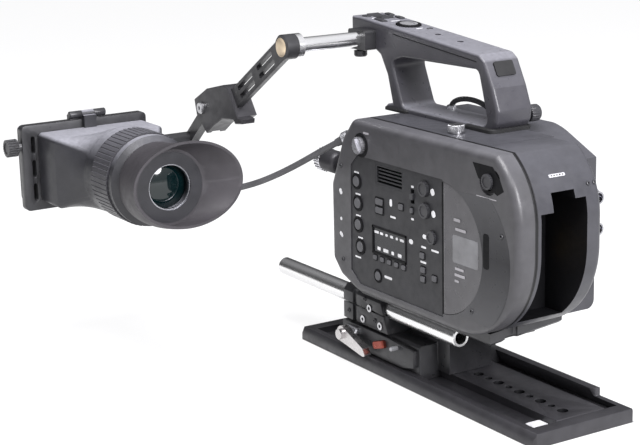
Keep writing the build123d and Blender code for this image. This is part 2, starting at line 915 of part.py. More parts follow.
finder_rod = side_turned(
    *rod_axis,
    [
        (arm_right + 0.3, 0),
        (arm_right + 0.3, 9.6),
        (arm_right + 5.3, 9.6),
        (arm_right + 5.3, finder_rod_radius),
        (23.4, finder_rod_radius),
        (24.0, finder_rod_radius - 0.6),
        (24.0, 0),
    ],
)
keep(finder_rod, "finder_rod")

# ---------------------------------------------------------------- slotted arm
arm_end = (170.0, 206.5)
arm_run = sqrt((arm_end[0] - rod_axis[0]) ** 2 + (arm_end[1] - rod_axis[1]) ** 2)
arm_turn = degrees(atan2(arm_end[1] - rod_axis[1], arm_end[0] - rod_axis[0]))
arm_thickness = 5.0
arm_plane = Plane(
    origin=(arm_left, rod_axis[0], rod_axis[1]),
    x_dir=(0, cos(radians(arm_turn)), sin(radians(arm_turn))),
    z_dir=(1, 0, 0),
)
with BuildPart() as slotted_arm:
    with BuildSketch(arm_plane):
        Circle(9.6)
        with Locations((arm_run / 2, -0.8)):
            Rectangle(arm_run, 17)
        # two pairs of long slots, one each side of a middle rib
        with Locations((29, 2.7), (29, -4.3), (66, 2.7), (66, -4.3)):
            SlotOverall(28, 3.8, mode=Mode.SUBTRACT)
    extrude(amount=arm_thickness)
    chamfer(slotted_arm.faces().sort_by(Axis.X)[0].outer_wire().edges(), length=1.0)
    # hub that bears on the finder rod's flange
    with BuildSketch(arm_plane.offset(2)):
        Circle(9.6)
    extrude(amount=arm_right - arm_left - 2)
    # seat of the rosette cap
    with BuildSketch(arm_plane):
        Circle(7.4)
    extrude(amount=1.5, mode=Mode.SUBTRACT)
keep(slotted_arm, "slotted_arm")

rosette_cap = side_turned(
    *rod_axis,
    [
        (arm_left - 1.2, 0),
        (arm_left - 1.2, 5.4),
        (arm_left - 0.6, 6.6),
        (arm_left - 0.2, 7.3),
        (arm_left + 1.5, 7.3),
        (arm_left + 1.5, 0),
    ],
)
keep(rosette_cap, "rosette_cap")

# ---------------------------------------------------------------- elbow block
fork_left = -98.0
fork_right = -80.0
bar_left = -93.0
bar_right = -85.0
block_outline = [
    (180, 217),
    (172, 215),
    (157, 194),
    (164, 190.5),
    (183, 189),
    (199, 181),
    (211, 173),
    (218, 179),
    (227, 186),
    (230.5, 199),
    (208.5, 210.5),
]
with BuildPart() as arm_socket:
    with BuildSketch(arm_plane):
        with Locations((arm_run / 2, -0.8)):
            Rectangle(arm_run, 17)
    extrude(amount=arm_thickness)
with BuildPart() as elbow_block:
    with BuildSketch(across(fork_left)):
        with BuildLine():
            Polyline(*block_outline, close=True)
        make_face()
    extrude(amount=fork_right - fork_left)
    # foot tab at the lower front corner
    with BuildSketch(across(fork_left)):
        with BuildLine():
            Polyline((150, 192.5), (157, 194), (164, 190.5), (162, 187.5), (151, 189), close=True)
        make_face()
    extrude(amount=12)
    add(arm_socket.part, mode=Mode.SUBTRACT)
    # fork gap that the lower bar turns in
    with BuildSketch(across(bar_left - 0.3)):
        with Locations((elbow_pivot[0] + 17, 195)):
            Rectangle(50, 70)
    extrude(amount=bar_right - bar_left + 0.6, mode=Mode.SUBTRACT)
    with BuildSketch(across(fork_left)):
        with Locations(elbow_pivot):
            Circle(3.06)
    extrude(amount=fork_right - fork_left, mode=Mode.SUBTRACT)
    chamfer(elbow_block.faces().sort_by(Axis.X)[0].outer_wire().edges(), length=0.8)
keep(elbow_block, "elbow_block")

elbow_screw = side_turned(
    *elbow_pivot,
    [
        (fork_left - 2.6, 1.6),
        (fork_left - 2.6, 4.2),
        (fork_left - 1.8, 5.0),
        (fork_left - 0.1, 5.0),
        (fork_left - 0.1, 3.0),
        (fork_right, 3.0),
        (fork_right, 0),
        (fork_left - 1.2, 0),
        (fork_left - 1.2, 1.6),
    ],
)
keep(elbow_screw, "elbow_screw")

# ---------------------------------------------------------------- lower bar
bar_run = sqrt((tilt_pivot[0] - elbow_pivot[0]) ** 2 + (tilt_pivot[1] - elbow_pivot[1]) ** 2)
bar_plane = Plane(
    origin=(bar_left, elbow_pivot[0], elbow_pivot[1]),
    x_dir=(0, tilt_pivot[0] - elbow_pivot[0], tilt_pivot[1] - elbow_pivot[1]),
    z_dir=(1, 0, 0),
)
boss_right = -118.0
with BuildPart() as lower_bar:
    with BuildSketch(bar_plane):
        Circle(6)
        with Locations((bar_run / 2, 0)):
            Rectangle(bar_run, 10)
        with Locations((bar_run, 0)):
            Circle(7)
        Circle(3.06, mode=Mode.SUBTRACT)
    extrude(amount=bar_right - bar_left)
    with BuildSketch(across(boss_right + 0.3)):
        with Locations(tilt_pivot):
            Circle(7)
    extrude(amount=bar_left - boss_right - 0.3)
    with BuildSketch(across(-141)):
        with Locations(tilt_pivot):
            Circle(4)
    extrude(amount=141 + boss_right + 0.3)
keep(lower_bar, "lower_bar")

# ---------------------------------------------------------------- cable from camera to monitor
cable_radius = 2.5
cable_route = [
    (-57.5, 74, 181),
    (-64, 86.5, 173.5),
    (-72.5, 101, 163.5),
    (-82, 117, 153.5),
    (-92, 132.5, 145),
    (-101, 147.5, 139),
    (-113, 170, 132.5),
    (-124, 192, 129.5),
    (-131.5, 212, 131.5),
    (-135, 225.5, 136),
    (-135, 238, 136),
]
cable_start = Vector(*cable_route[0])
cable_end = cable_route[-1]
runs = [Vector(*b) - Vector(*a) for a, b in zip(cable_route, cable_route[1:])]
turns = [a.get_angle(b) for a, b in zip(runs, runs[1:])]
bend_radii = [
    0.45 * min(a.length, b.length) / tan(radians(turn / 2)) for a, b, turn in zip(runs, runs[1:], turns)
]
print("cable runs", [round(run.length, 1) for run in runs])
print("cable bend radii", [round(radius, 1) for radius in bend_radii])

with BuildPart() as monitor_cable:
    with BuildLine() as cable_path:
        FilletPolyline(*cable_route, radius=bend_radii)
    with BuildSketch(Plane(origin=cable_start, z_dir=runs[0])):
        Circle(cable_radius)
    sweep()
cable_length = sum(edge.length for edge in cable_path.edges())
print("cable length", round(cable_length, 1))
print("cable volume over section x length", monitor_cable.part.volume / (pi * cable_radius**2 * cable_length))
keep(monitor_cable, "monitor_cable")

# plug on the cable's camera end, seated on the cover's front slope
plug_way = runs[0].normalized()
plug_plane = Plane(origin=cable_start, x_dir=-plug_way, z_dir=plug_way.cross(Vector(0, 0, 1)))
plug_turned = turned(plug_plane, [(0, 0), (0, 3.0), (6, 3.6), (7, 4.8), (18, 4.8), (18, 0)])
with BuildPart() as cable_plug:
    add(plug_turned.part)
    add(cover_outer, mode=Mode.SUBTRACT)
    add(casing_outer, mode=Mode.SUBTRACT)
keep(cable_plug, "cable_plug")

# ---------------------------------------------------------------- monitor and its frame
monitor_left = -243.0
monitor_right = -147.0
monitor_centre = (monitor_left + monitor_right) / 2
with BuildPart() as monitor:
    with BuildSketch(along(264)):
        with Locations((monitor_centre, 158)):
            RectangleRounded(monitor_right - monitor_left, 62, 4)
    extrude(amount=21)
    chamfer(monitor.faces().sort_by(Axis.Y)[-1].edges(), length=2)
    # recess for the screen
    with BuildSketch(along(243)):
        with Locations((monitor_centre, 158)):
            Rectangle(84.2, 52.2)
    extrude(amount=-1.6, mode=Mode.SUBTRACT)
    # boss on the right end with the tilt bore
    with BuildSketch(across(monitor_right - 1)):
        with Locations(tilt_pivot):
            Circle(8)
    extrude(amount=boss_right - monitor_right + 1)
    with BuildSketch(across(boss_right)):
        with Locations(tilt_pivot):
            Circle(4.06)
    extrude(amount=-24, mode=Mode.SUBTRACT)
    # connector block below the boss, with the cable gland on its rear face
    with Locations((-138, 254, cable_end[2])):
        Box(20, 16, 14)
    with BuildSketch(along(246)):
        with Locations((cable_end[0], cable_end[2])):
            Circle(4)
    extrude(amount=246 - cable_end[1])
keep(monitor, "monitor")

with BuildPart() as monitor_screen:
    with BuildSketch(along(244.6)):
        with Locations((monitor_centre, 158)):
            Rectangle(84, 52)
    extrude(amount=1.4)
keep(monitor_screen, "monitor_screen")

frame_rear = 234.5
frame_front = 242.8
pin_radius = 1.3
with BuildPart() as finder_frame:
    with BuildSketch(along(frame_front)):
        with Locations((-195.5, 158.5)):
            RectangleRounded(109, 69, 4)
        with Locations((-191, 158.5)):
            Rectangle(82, 50, mode=Mode.SUBTRACT)
        with Locations((-241, 139), (-241, 158), (-241, 177)):
            SlotOverall(14, 3.4, rotation=90, mode=Mode.SUBTRACT)
    extrude(amount=frame_front - frame_rear)
    # two hinge knuckles on the top edge, with the pin between them
    with BuildSketch(across(-208)):
        with Locations(flip_pivot):
            Circle(3)
        with Locations((239.0, 194.5)):
            Rectangle(5, 5)
    extrude(amount=10)
    with BuildSketch(across(-187)):
        with Locations(flip_pivot):
            Circle(3)
        with Locations((239.0, 194.5)):
            Rectangle(5, 5)
    extrude(amount=10)
    with BuildSketch(across(-199)):
        with Locations(flip_pivot):
            Circle(pin_radius)
    extrude(amount=13)
    # bored lug for the side knob
    with BuildSketch(across(-253)):
        with Locations((239, 176)):
            Circle(3.7)
    extrude(amount=4)
keep(finder_frame, "finder_frame")

with BuildPart() as frame_knob:
    with BuildSketch(across(-262)):
        with Locations((239, 176)):
            Circle(7)
            with PolarLocations(7, 20):
                Circle(0.8, mode=Mode.SUBTRACT)
    extrude(amount=8.7)
    with BuildSketch(across(-262)):
        with Locations((239, 176)):
            Circle(4.5)
    extrude(amount=0.6, mode=Mode.SUBTRACT)
keep(frame_knob, "frame_knob")

# ---------------------------------------------------------------- finder box
with BuildPart() as finder_box:
    with BuildSketch(along(233.6)):
        with Locations((eye_x, 158.5)):
            RectangleRounded(94, 56, 4)
    extrude(amount=31.6)
    with BuildSketch(along(202)):
        with Locations((eye_x, 158.5)):
            RectangleRounded(94, 56, 4)
    with BuildSketch(along(174)):
        with Locations((eye_x, eye_z)):
            Circle(35.4)
    loft()
    with BuildSketch(along(174)):
        with Locations((eye_x, eye_z)):
            Circle(35.4)
    extrude(amount=2)
    # light path, wide at the screen and round at the eye
    with BuildSketch(along(233.6)):
        with Locations((eye_x, 158.5)):
            Rectangle(82, 50)
    extrude(amount=28, mode=Mode.SUBTRACT)
    with BuildSketch(along(206)):
        with Locations((eye_x, eye_z)):
            Circle(23)
    extrude(amount=40, mode=Mode.SUBTRACT)
    # middle hinge knuckle
    with BuildSketch(across(-197.7)):
        with Locations(flip_pivot):
            Circle(3)
        with Locations((231.8, 191.2)):
            Rectangle(3.4, 10.6)
        with Locations((233.7, 195.0)):
            Rectangle(5, 3)
        with Locations(flip_pivot):
            Circle(pin_radius + 0.06, mode=Mode.SUBTRACT)
    extrude(amount=10.4)
keep(finder_box, "finder_box")

# ---------------------------------------------------------------- eyepiece
loupe_barrel = front_turned(
    eye_x,
    eye_z,
    [
        (171.9, 21),
        (171.9, 35.4),
        (161, 35.4),
        (160, 32.7),
        (132, 32.7),
        (132, 35),
        (126, 35),
        (121, 27),
        (98, 27),
        (98, 17.5),
        (106.5, 17.5),
        (106.5, 21),
    ],
)
keep(loupe_barrel, "loupe_barrel")

with BuildPart() as focus_ring:
    with BuildSketch(along(159.6)):
        with Locations((eye_x, eye_z)):
            Circle(36.2)
            Circle(32.76, mode=Mode.SUBTRACT)
            with PolarLocations(36.4, 60):
                Circle(0.7, mode=Mode.SUBTRACT)
    extrude(amount=27.2)
keep(focus_ring, "focus_ring")

lens_edge = 20.9
lens_rise = 5.3
lens_sphere = (lens_edge**2 + lens_rise**2) / (2 * lens_rise)
with BuildPart() as eyepiece_lens:
    with BuildSketch(along(113)):
        with Locations((eye_x, eye_z)):
            Circle(lens_edge)
    extrude(amount=4.5 + lens_rise)
    with Locations((eye_x, 103.2 + lens_sphere, eye_z)):
        Sphere(lens_sphere, mode=Mode.INTERSECT)
keep(eyepiece_lens, "eyepiece_lens")

rim_centre = (-182.0, 163.5)
rim_y = 82.0
rim_wide = 45.5
rim_high = 33.0
cup_root_y = 120.8
with BuildPart() as eyecup:
    with BuildSketch(along(cup_root_y)):
        with Locations((eye_x, eye_z)):
            Circle(31)
    with BuildSketch(along(102)):
        with Locations((eye_x + 1.5, eye_z + 0.5)):
            Ellipse(36, 32)
    with BuildSketch(along(rim_y)):
        with Locations(rim_centre):
            Ellipse(rim_wide, rim_high)
    loft()
    # bore round the barrel, then a ledge and the flare towards the rim
    with BuildSketch(along(cup_root_y)):
        with Locations((eye_x, eye_z)):
            Circle(27.05)
    extrude(amount=cup_root_y - 97.4, mode=Mode.SUBTRACT)
    with BuildSketch(along(97.9)):
        with Locations((eye_x, eye_z)):
            Circle(29)
    with BuildSketch(along(rim_y)):
        with Locations(rim_centre):
            Ellipse(rim_wide - 2, rim_high - 2)
    loft(mode=Mode.SUBTRACT)
keep(eyecup, "eyecup")
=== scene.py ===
"""Looks of the cinema camera rig: finishes, small surface details, cable, light and camera.

Everything is in the row frame, in metres: the origin is the centre of the dovetail plate's
underside, +Y is the way the lens looks, +X is the camera's right and +Z is up.
"""

import json
from math import cos, pi, radians, sin, tau

import bmesh
import bpy
from mathutils import Matrix, Vector


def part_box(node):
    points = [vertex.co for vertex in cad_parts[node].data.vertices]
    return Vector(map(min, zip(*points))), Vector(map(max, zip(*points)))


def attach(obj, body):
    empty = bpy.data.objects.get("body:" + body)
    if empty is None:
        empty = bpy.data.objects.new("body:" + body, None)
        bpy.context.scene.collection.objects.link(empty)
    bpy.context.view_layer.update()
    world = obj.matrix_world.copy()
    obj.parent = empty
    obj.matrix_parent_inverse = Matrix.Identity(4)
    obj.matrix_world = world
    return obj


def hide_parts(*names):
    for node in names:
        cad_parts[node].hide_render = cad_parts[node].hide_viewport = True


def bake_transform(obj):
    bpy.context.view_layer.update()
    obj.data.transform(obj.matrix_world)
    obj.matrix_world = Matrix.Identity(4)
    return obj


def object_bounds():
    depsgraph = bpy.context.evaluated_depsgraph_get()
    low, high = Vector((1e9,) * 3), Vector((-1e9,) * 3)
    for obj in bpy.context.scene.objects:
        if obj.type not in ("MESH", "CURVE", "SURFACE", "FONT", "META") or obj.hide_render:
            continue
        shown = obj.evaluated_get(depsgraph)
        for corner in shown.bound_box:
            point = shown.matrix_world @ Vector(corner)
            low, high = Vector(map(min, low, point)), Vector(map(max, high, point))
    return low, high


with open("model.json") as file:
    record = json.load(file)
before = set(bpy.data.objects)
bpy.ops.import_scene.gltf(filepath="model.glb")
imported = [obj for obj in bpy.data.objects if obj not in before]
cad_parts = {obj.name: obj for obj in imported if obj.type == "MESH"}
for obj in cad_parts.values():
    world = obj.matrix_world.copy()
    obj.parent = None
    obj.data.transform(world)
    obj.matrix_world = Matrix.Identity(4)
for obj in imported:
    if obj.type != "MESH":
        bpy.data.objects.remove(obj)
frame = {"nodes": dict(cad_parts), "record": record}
cad_low, cad_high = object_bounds()
nodes = frame["nodes"]
mm = 0.001

X_AXIS = Vector((1, 0, 0))
Y_AXIS = Vector((0, 1, 0))
Z_AXIS = Vector((0, 0, 1))


def middle(node):
    """Centre of a CAD node's box."""
    low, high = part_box(node)
    return (low + high) / 2


# ---------------------------------------------------------------- materials
CLOUD_SIZE = 14.0  # mm, of the patches of lighter and darker colour
SMEAR_SIZE = 6.0  # mm, of the patches of rougher and smoother surface
# size and colour of the paling on up-facing faces: partly dust, partly painted top light
DUST_AND_TOP_LIGHT_SIZE = 3.0
DUST_AND_TOP_LIGHT_COLOUR = (0.42, 0.42, 0.47)


def wire(tree, source, socket):
    tree.links.new(source, socket)


def noise(tree, place, size_mm, detail=3.0, rough=0.55):
    """Noise whose features are about size_mm across."""
    node = tree.nodes.new("ShaderNodeTexNoise")
    node.inputs["Scale"].default_value = 1000.0 / size_mm
    node.inputs["Detail"].default_value = detail
    node.inputs["Roughness"].default_value = rough
    wire(tree, place, node.inputs["Vector"])
    return node.outputs["Fac"]


def spread(tree, value, low, high, centre=0.5, reach=0.2):
    """value, from centre - reach to centre + reach, mapped to low ... high."""
    node = tree.nodes.new("ShaderNodeMapRange")
    node.inputs["From Min"].default_value = centre - reach
    node.inputs["From Max"].default_value = centre + reach
    node.inputs["To Min"].default_value = low
    node.inputs["To Max"].default_value = high
    wire(tree, value, node.inputs["Value"])
    return node.outputs["Result"]


def tone(colour, factor):
    return (*[min(1.0, part * factor) for part in colour], 1.0)


def mix_in(tree, colour, amount):
    """Mix another colour into the base colour of a finish, by a socket from 0 to 1."""
    base = tree.nodes["Principled BSDF"].inputs["Base Color"]
    mix = tree.nodes.new("ShaderNodeMix")
    mix.data_type = "RGBA"
    mix.inputs["B"].default_value = (*colour, 1.0)
    wire(tree, amount, mix.inputs["Factor"])
    wire(tree, base.links[0].from_socket, mix.inputs["A"])
    wire(tree, mix.outputs["Result"], base)


def distance(tree, axis, centre):
    """How far the surface is from centre, in metres, along an axis."""
    parts = tree.nodes.new("ShaderNodeSeparateXYZ")
    wire(tree, tree.nodes.new("ShaderNodeTexCoord").outputs["Object"], parts.inputs["Vector"])
    away = tree.nodes.new("ShaderNodeMath")
    away.operation = "SUBTRACT"
    away.inputs[1].default_value = centre
    wire(tree, parts.outputs[axis], away.inputs[0])
    size = tree.nodes.new("ShaderNodeMath")
    size.operation = "ABSOLUTE"
    wire(tree, away.outputs["Value"], size.inputs[0])
    return size.outputs["Value"]


def finish(
    name,
    colour,
    rough,
    metal=0.0,
    grain=0.5,
    depth=0.02,
    mottle=0.15,
    uneven=0.08,
    stretch=None,
    specular=0.5,
    coat=0.0,
    dust_and_top_light=0.0,
):
    """A finish with cloudy colour, uneven gloss and a fine grain that stands depth mm proud.

    stretch lengthens the grain along one axis, as brushing or turning leaves it. Its last argument
    is how far the surface pales where it faces up: partly dust, partly painted light on the top faces.
    """
    material = bpy.data.materials.new(name)
    material.use_nodes = True
    tree = material.node_tree
    shader = tree.nodes["Principled BSDF"]
    shader.inputs["Metallic"].default_value = metal
    shader.inputs["Specular IOR Level"].default_value = specular
    shader.inputs["Coat Weight"].default_value = coat
    shader.inputs["Coat Roughness"].default_value = 0.12
    coordinates = tree.nodes.new("ShaderNodeTexCoord").outputs["Object"]
    place = coordinates
    if stretch:
        mapping = tree.nodes.new("ShaderNodeMapping")
        mapping.inputs["Scale"].default_value = stretch
        wire(tree, coordinates, mapping.inputs["Vector"])
        place = mapping.outputs["Vector"]

    ramp = tree.nodes.new("ShaderNodeValToRGB")
    ramp.color_ramp.elements[0].position = 0.3
    ramp.color_ramp.elements[0].color = tone(colour, 1 - mottle)
    ramp.color_ramp.elements[1].position = 0.7
    ramp.color_ramp.elements[1].color = tone(colour, 1 + mottle)
    wire(tree, noise(tree, place, CLOUD_SIZE), ramp.inputs["Fac"])
    wire(tree, ramp.outputs["Color"], shader.inputs["Base Color"])
    # paler where the face points up, mottled by noise: partly dust, partly painted top light
    if dust_and_top_light:
        upward = tree.nodes.new("ShaderNodeSeparateXYZ")
        geometry = tree.nodes.new("ShaderNodeNewGeometry")
        wire(tree, geometry.outputs["Normal"], upward.inputs["Vector"])
        top_paling = tree.nodes.new("ShaderNodeMath")
        top_paling.operation = "MULTIPLY"
        wire(tree, spread(tree, upward.outputs["Z"], 0.0, dust_and_top_light, 0.7, 0.3), top_paling.inputs[0])
        wire(tree, spread(tree, noise(tree, coordinates, DUST_AND_TOP_LIGHT_SIZE, 6.0), 0.7, 1.0), top_paling.inputs[1])
        mix_in(tree, DUST_AND_TOP_LIGHT_COLOUR, top_paling.outputs["Value"])

    gloss = spread(tree, noise(tree, place, SMEAR_SIZE, 4.0), rough - uneven, rough + uneven)
    wire(tree, gloss, shader.inputs["Roughness"])
    bump = tree.nodes.new("ShaderNodeBump")
    bump.inputs["Strength"].default_value = 1.0
    bump.inputs["Distance"].default_value = depth * mm
    wire(tree, noise(tree, place, grain, 2.0, 0.6), bump.inputs["Height"])
    wire(tree, bump.outputs["Normal"], shader.inputs["Normal"])
    return material


def glassy(name, colour, rough, ior):
    """A smooth finish that mirrors as glass does, with faint smears."""
    material = finish(name, colour, rough, grain=4.0, depth=0.004, mottle=0.2, uneven=rough * 0.4)
    material.node_tree.nodes["Principled BSDF"].inputs["IOR"].default_value = ior
    return material


# where a finish pales on its up-facing faces, that is partly dust and partly painted top light, strongest on
# the finder and the handle
FINISHES = {
    "shell_paint": finish("shell_paint", (0.04, 0.04, 0.047), 0.36, depth=0.03, grain=0.7, dust_and_top_light=0.06),
    "side_cover": finish("side_cover", (0.053, 0.052, 0.057), 0.4, depth=0.025, grain=0.6, dust_and_top_light=0.1),
    "panel_black": finish("panel_black", (0.022, 0.022, 0.025), 0.46, depth=0.02, specular=0.35),
    "door_smoke": finish("door_smoke", (0.062, 0.06, 0.066), 0.32, depth=0.012, coat=0.15),
    "window_clear": glassy("window_clear", (0.16, 0.16, 0.17), 0.16, 1.5),
    "display_glass": finish(
        "display_glass", (0.012, 0.013, 0.016), 0.24, depth=0.006, specular=0.3, coat=0.15
    ),
    "button_rubber": finish("button_rubber", (0.075, 0.075, 0.082), 0.5, depth=0.02),
    "button_red": finish("button_red", (0.2, 0.2, 0.21), 0.4, depth=0.015),
    "dial_black": finish("dial_black", (0.03, 0.03, 0.034), 0.42, depth=0.02),
    "dial_silver": finish("dial_silver", (0.5, 0.5, 0.53), 0.34, metal=0.9, stretch=(1, 1, 8)),
    "handle_plastic": finish(
        "handle_plastic", (0.045, 0.044, 0.052), 0.34, depth=0.045, grain=0.8, mottle=0.08, dust_and_top_light=0.45
    ),
    "pad_rubber": finish("pad_rubber", (0.006, 0.006, 0.007), 0.7, depth=0.05, grain=0.9),
    "anodised_black": finish("anodised_black", (0.034, 0.034, 0.037), 0.34, metal=0.3, depth=0.012),
    "anodised_grey": finish("anodised_grey", (0.042, 0.041, 0.046), 0.38, metal=0.35, depth=0.012),
    "rod_steel": finish(
        "rod_steel", (0.9, 0.9, 0.91), 0.22, metal=1.0, grain=0.4, depth=0.003, stretch=(1, 0.05, 1)
    ),
    "screw_steel": finish("screw_steel", (0.6, 0.6, 0.62), 0.28, metal=1.0, depth=0.01),
    "lever_metal": finish("lever_metal", (0.62, 0.6, 0.6), 0.26, metal=1.0, depth=0.01),
    "rosette_brass": finish("rosette_brass", (0.8, 0.66, 0.48), 0.38, metal=0.7, depth=0.01),
    "mount_metal": finish("mount_metal", (0.5, 0.5, 0.53), 0.3, metal=1.0, depth=0.006, stretch=(1, 9, 1)),
    "circuit": finish("circuit", (0.03, 0.11, 0.06), 0.4, depth=0.03, grain=1.5),
    "sensor_dark": finish("sensor_dark", (0.03, 0.03, 0.035), 0.35, metal=0.2),
    "contact_gold": finish("contact_gold", (0.8, 0.6, 0.28), 0.26, metal=1.0, depth=0.008),
    "connector_metal": finish("connector_metal", (0.42, 0.42, 0.45), 0.3, metal=1.0, depth=0.01),
    "cable_rubber": finish("cable_rubber", (0.07, 0.07, 0.075), 0.48, depth=0.02, grain=1.2),
    "finder_plastic": finish("finder_plastic", (0.022, 0.022, 0.026), 0.38, depth=0.03, grain=0.6, dust_and_top_light=0.7),
    "ring_rubber": finish("ring_rubber", (0.035, 0.034, 0.04), 0.42, depth=0.02, dust_and_top_light=0.2),
    "eyecup_rubber": finish("eyecup_rubber", (0.036, 0.033, 0.038), 0.56, depth=0.03, grain=0.7),
    "lens_glass": glassy("lens_glass", (0.001, 0.007, 0.008), 0.07, 1.6),
    "screen_glass": finish("screen_glass", (0.02, 0.022, 0.03), 0.14, depth=0.004, coat=0.6),
}
white_ink = finish("white_ink", (0.72, 0.72, 0.74), 0.5, depth=0.01)
grey_ink = finish("grey_ink", (0.34, 0.33, 0.35), 0.5, depth=0.01)
gap_and_shade_black = finish("gap_and_shade_black", (0.004, 0.004, 0.005), 0.6, depth=0.03, specular=0.15)
pale_plastic = finish("pale_plastic", (0.36, 0.36, 0.38), 0.42, depth=0.03)
smoke_gloss = finish("smoke_gloss", (0.02, 0.02, 0.023), 0.34, depth=0.004, specular=0.2)
red_metal = finish("red_metal", (0.3, 0.07, 0.05), 0.3, metal=0.8, depth=0.01)
bare_silver = finish("bare_silver", (0.7, 0.7, 0.73), 0.24, metal=1.0, depth=0.01)
chromed_rod = finish(
    "chromed_rod", (0.93, 0.93, 0.94), 0.2, metal=1.0, grain=0.4, depth=0.002, stretch=(0.05, 1, 1)
)

slot_of = {row["node"]: row["material_slot"] for row in frame["record"]["subparts"]}
for name, piece in nodes.items():
    piece.data.materials.clear()
    piece.data.materials.append(FINISHES[slot_of[name]])
nodes["finder_rod"].data.materials[0] = chromed_rod


def soften(name, width_mm):
    """Join a CAD node's facets and break its sharp edges by width_mm."""
    piece = nodes[name]
    if "custom_normal" in piece.data.attributes:
        piece.data.attributes.remove(piece.data.attributes["custom_normal"])
    piece.data.polygons.foreach_set("use_smooth", [True] * len(piece.data.polygons))
    weld = piece.modifiers.new("weld", "WELD")
    weld.merge_threshold = 0.01 * mm
    if width_mm:
        bevel = piece.modifiers.new("bevel", "BEVEL")
        bevel.limit_method = "ANGLE"
        bevel.angle_limit = radians(40)
        bevel.width = width_mm * mm
        bevel.segments = 2
        bevel.use_clamp_overlap = False
        bevel.harden_normals = False
    split = piece.modifiers.new("split", "EDGE_SPLIT")
    split.split_angle = radians(38)


# pieces with sharp machined edges, and how far in mm the light catches them
broken_edges = {
    "dovetail_plate": 0.3,
    "base_carriage": 0.4,
    "rod_bracket": 0.5,
    "monitor": 0.3,
    "finder_frame": 0.3,
}
for name in nodes:
    soften(name, broken_edges.get(name, 0.0))


def seam_shade_line(material, start_mm, end_mm):
    """Darken a finish between two X positions in mm: the dark gap between two covers, widened by painted
    shade on their rounded edges.
    """
    tree = material.node_tree
    half = abs(end_mm - start_mm) / 2 * mm
    off_centre = distance(tree, "X", (start_mm + end_mm) / 2 * mm)
    mix_in(tree, (0.003, 0.003, 0.004), spread(tree, off_centre, 1.0, 0.0, half, 0.1 * mm))


def height_fade(material, centre_mm, reach_mm, colour):
    """Blend a finish towards another colour with distance in Z from centre_mm."""
    tree = material.node_tree
    half = reach_mm / 2 * mm
    mix_in(tree, colour, spread(tree, distance(tree, "Z", centre_mm * mm), 0.0, 1.0, half, half))


# the smoked crescent beside the door is darkest across its middle
height_fade(smoke_gloss, 132, 46, (0.075, 0.075, 0.08))
# dark joint where the left cover meets the casing, widened by painted shade on the rounded edges either side
seam_shade_line(FINISHES["side_cover"], -47.4, -45.8)
seam_shade_line(FINISHES["shell_paint"], -45.9, -44.6)


def blacken(node, chosen):
    """Give the faces of a CAD node for which chosen(centre in mm, normal) holds a black finish."""
    mesh = nodes[node].data
    mesh.materials.append(gap_and_shade_black)
    for polygon in mesh.polygons:
        if chosen(polygon.center / mm, polygon.normal):
            polygon.material_index = 1


def inside_bay(spot, normal):
    """Is this a face inside the battery bay, which is given a black finish? Its rim is not."""
    within = -42.2 < spot.x < -1.8 and spot.y < -108.8 and 83.8 < spot.z < 178.2
    on_rim = spot.y < -148 and normal.y < -0.5
    return within and not on_rim


def shaded_tapped_hole_wall(spot, normal):
    """Is this a wall face of the row of tapped holes down the plate? Those are given black as painted shade.
    """
    return abs(normal.z) < 0.2 and abs(spot.x) < 4.2 and 25 < abs(spot.y) < 132


blacken("rear_housing", inside_bay)
# painted shade: the walls of the plate's tapped holes are black
blacken("dovetail_plate", shaded_tapped_hole_wall)


# ---------------------------------------------------------------- piece builders
def link_piece(name, shape, material):
    """Turn a finished bmesh into an object in the scene, with smooth shading."""
    mesh = bpy.data.meshes.new(name)
    shape.to_mesh(mesh)
    shape.free()
    for polygon in mesh.polygons:
        polygon.use_smooth = True
    mesh.materials.append(material)
    piece = bpy.data.objects.new(name, mesh)
    bpy.context.scene.collection.objects.link(piece)
    return piece


def place_piece(name, shape, material, body, smooth_angle=35):
    """Link a bmesh as a piece of the object that rides on a body."""
    piece = link_piece(name, shape, material)
    split = piece.modifiers.new("split", "EDGE_SPLIT")
    split.split_angle = radians(smooth_angle)
    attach(piece, body)
    return piece


def facing(normal, spin=0.0):
    """Turn that takes +Z to normal, with the piece's own +Y as near to up as it can be."""
    out = Vector(normal).normalized()
    up = Z_AXIS if abs(out.z) < 0.95 else Y_AXIS
    side = up.cross(out).normalized()
    turn = Matrix((side, out.cross(side), out)).transposed().to_4x4()
    return turn @ Matrix.Rotation(spin, 4, "Z")


CORNER_STEPS = 5


def rounded_outline(width, height, radius):
    """Points of a rectangle with round corners, centred on the origin."""
    radius = min(radius, width / 2 * 0.999, height / 2 * 0.999)
    points = []
    for index, (sx, sy) in enumerate(((1, 1), (-1, 1), (-1, -1), (1, -1))):
        for step in range(CORNER_STEPS + 1):
            angle = (index + step / CORNER_STEPS) * pi / 2
            points.append(
                (
                    sx * (width / 2 - radius) + radius * cos(angle),
                    sy * (height / 2 - radius) + radius * sin(angle),
                )
            )
    return points


def bridge(shape, loops):
    """Join each loop of vertices to the next with quads."""
    count = len(loops[0])
    for low, high in zip(loops, loops[1:]):
        for i in range(count):
            j = (i + 1) % count
            shape.faces.new((low[i], low[j], high[j], high[i]))


def add_slab(shape, outline, thickness, bevel, spot, turn):
    """Add an outline pulled thickness outwards, its front edge broken, to a bmesh."""
    reach = max(max(abs(x), abs(y)) for x, y in outline)
    front_scale = max(0.05, 1 - bevel / reach)
    loops = []
    for scale, height in ((1.0, 0.0), (1.0, thickness - bevel), (front_scale, thickness)):
        loops.append(
            [
                shape.verts.new(turn @ (Vector((x * scale, y * scale, height)) * mm) + spot)
                for x, y in outline
            ]
        )
    bridge(shape, loops)
    shape.faces.new(loops[-1])
    shape.faces.new(list(reversed(loops[0])))


def slabs(name, parts, material, body):
    """One piece made of small slabs. Each part is (spot, normal, outline, thickness, bevel, spin)."""
    shape = bmesh.new()
    for spot, normal, outline, thickness, bevel, spin in parts:
        add_slab(shape, outline, thickness, bevel, spot, facing(normal, spin).to_3x3())
    return place_piece(name, shape, material, body)


def close_ends(shape, loops):
    shape.faces.new(list(reversed(loops[0])))
    shape.faces.new(loops[-1])


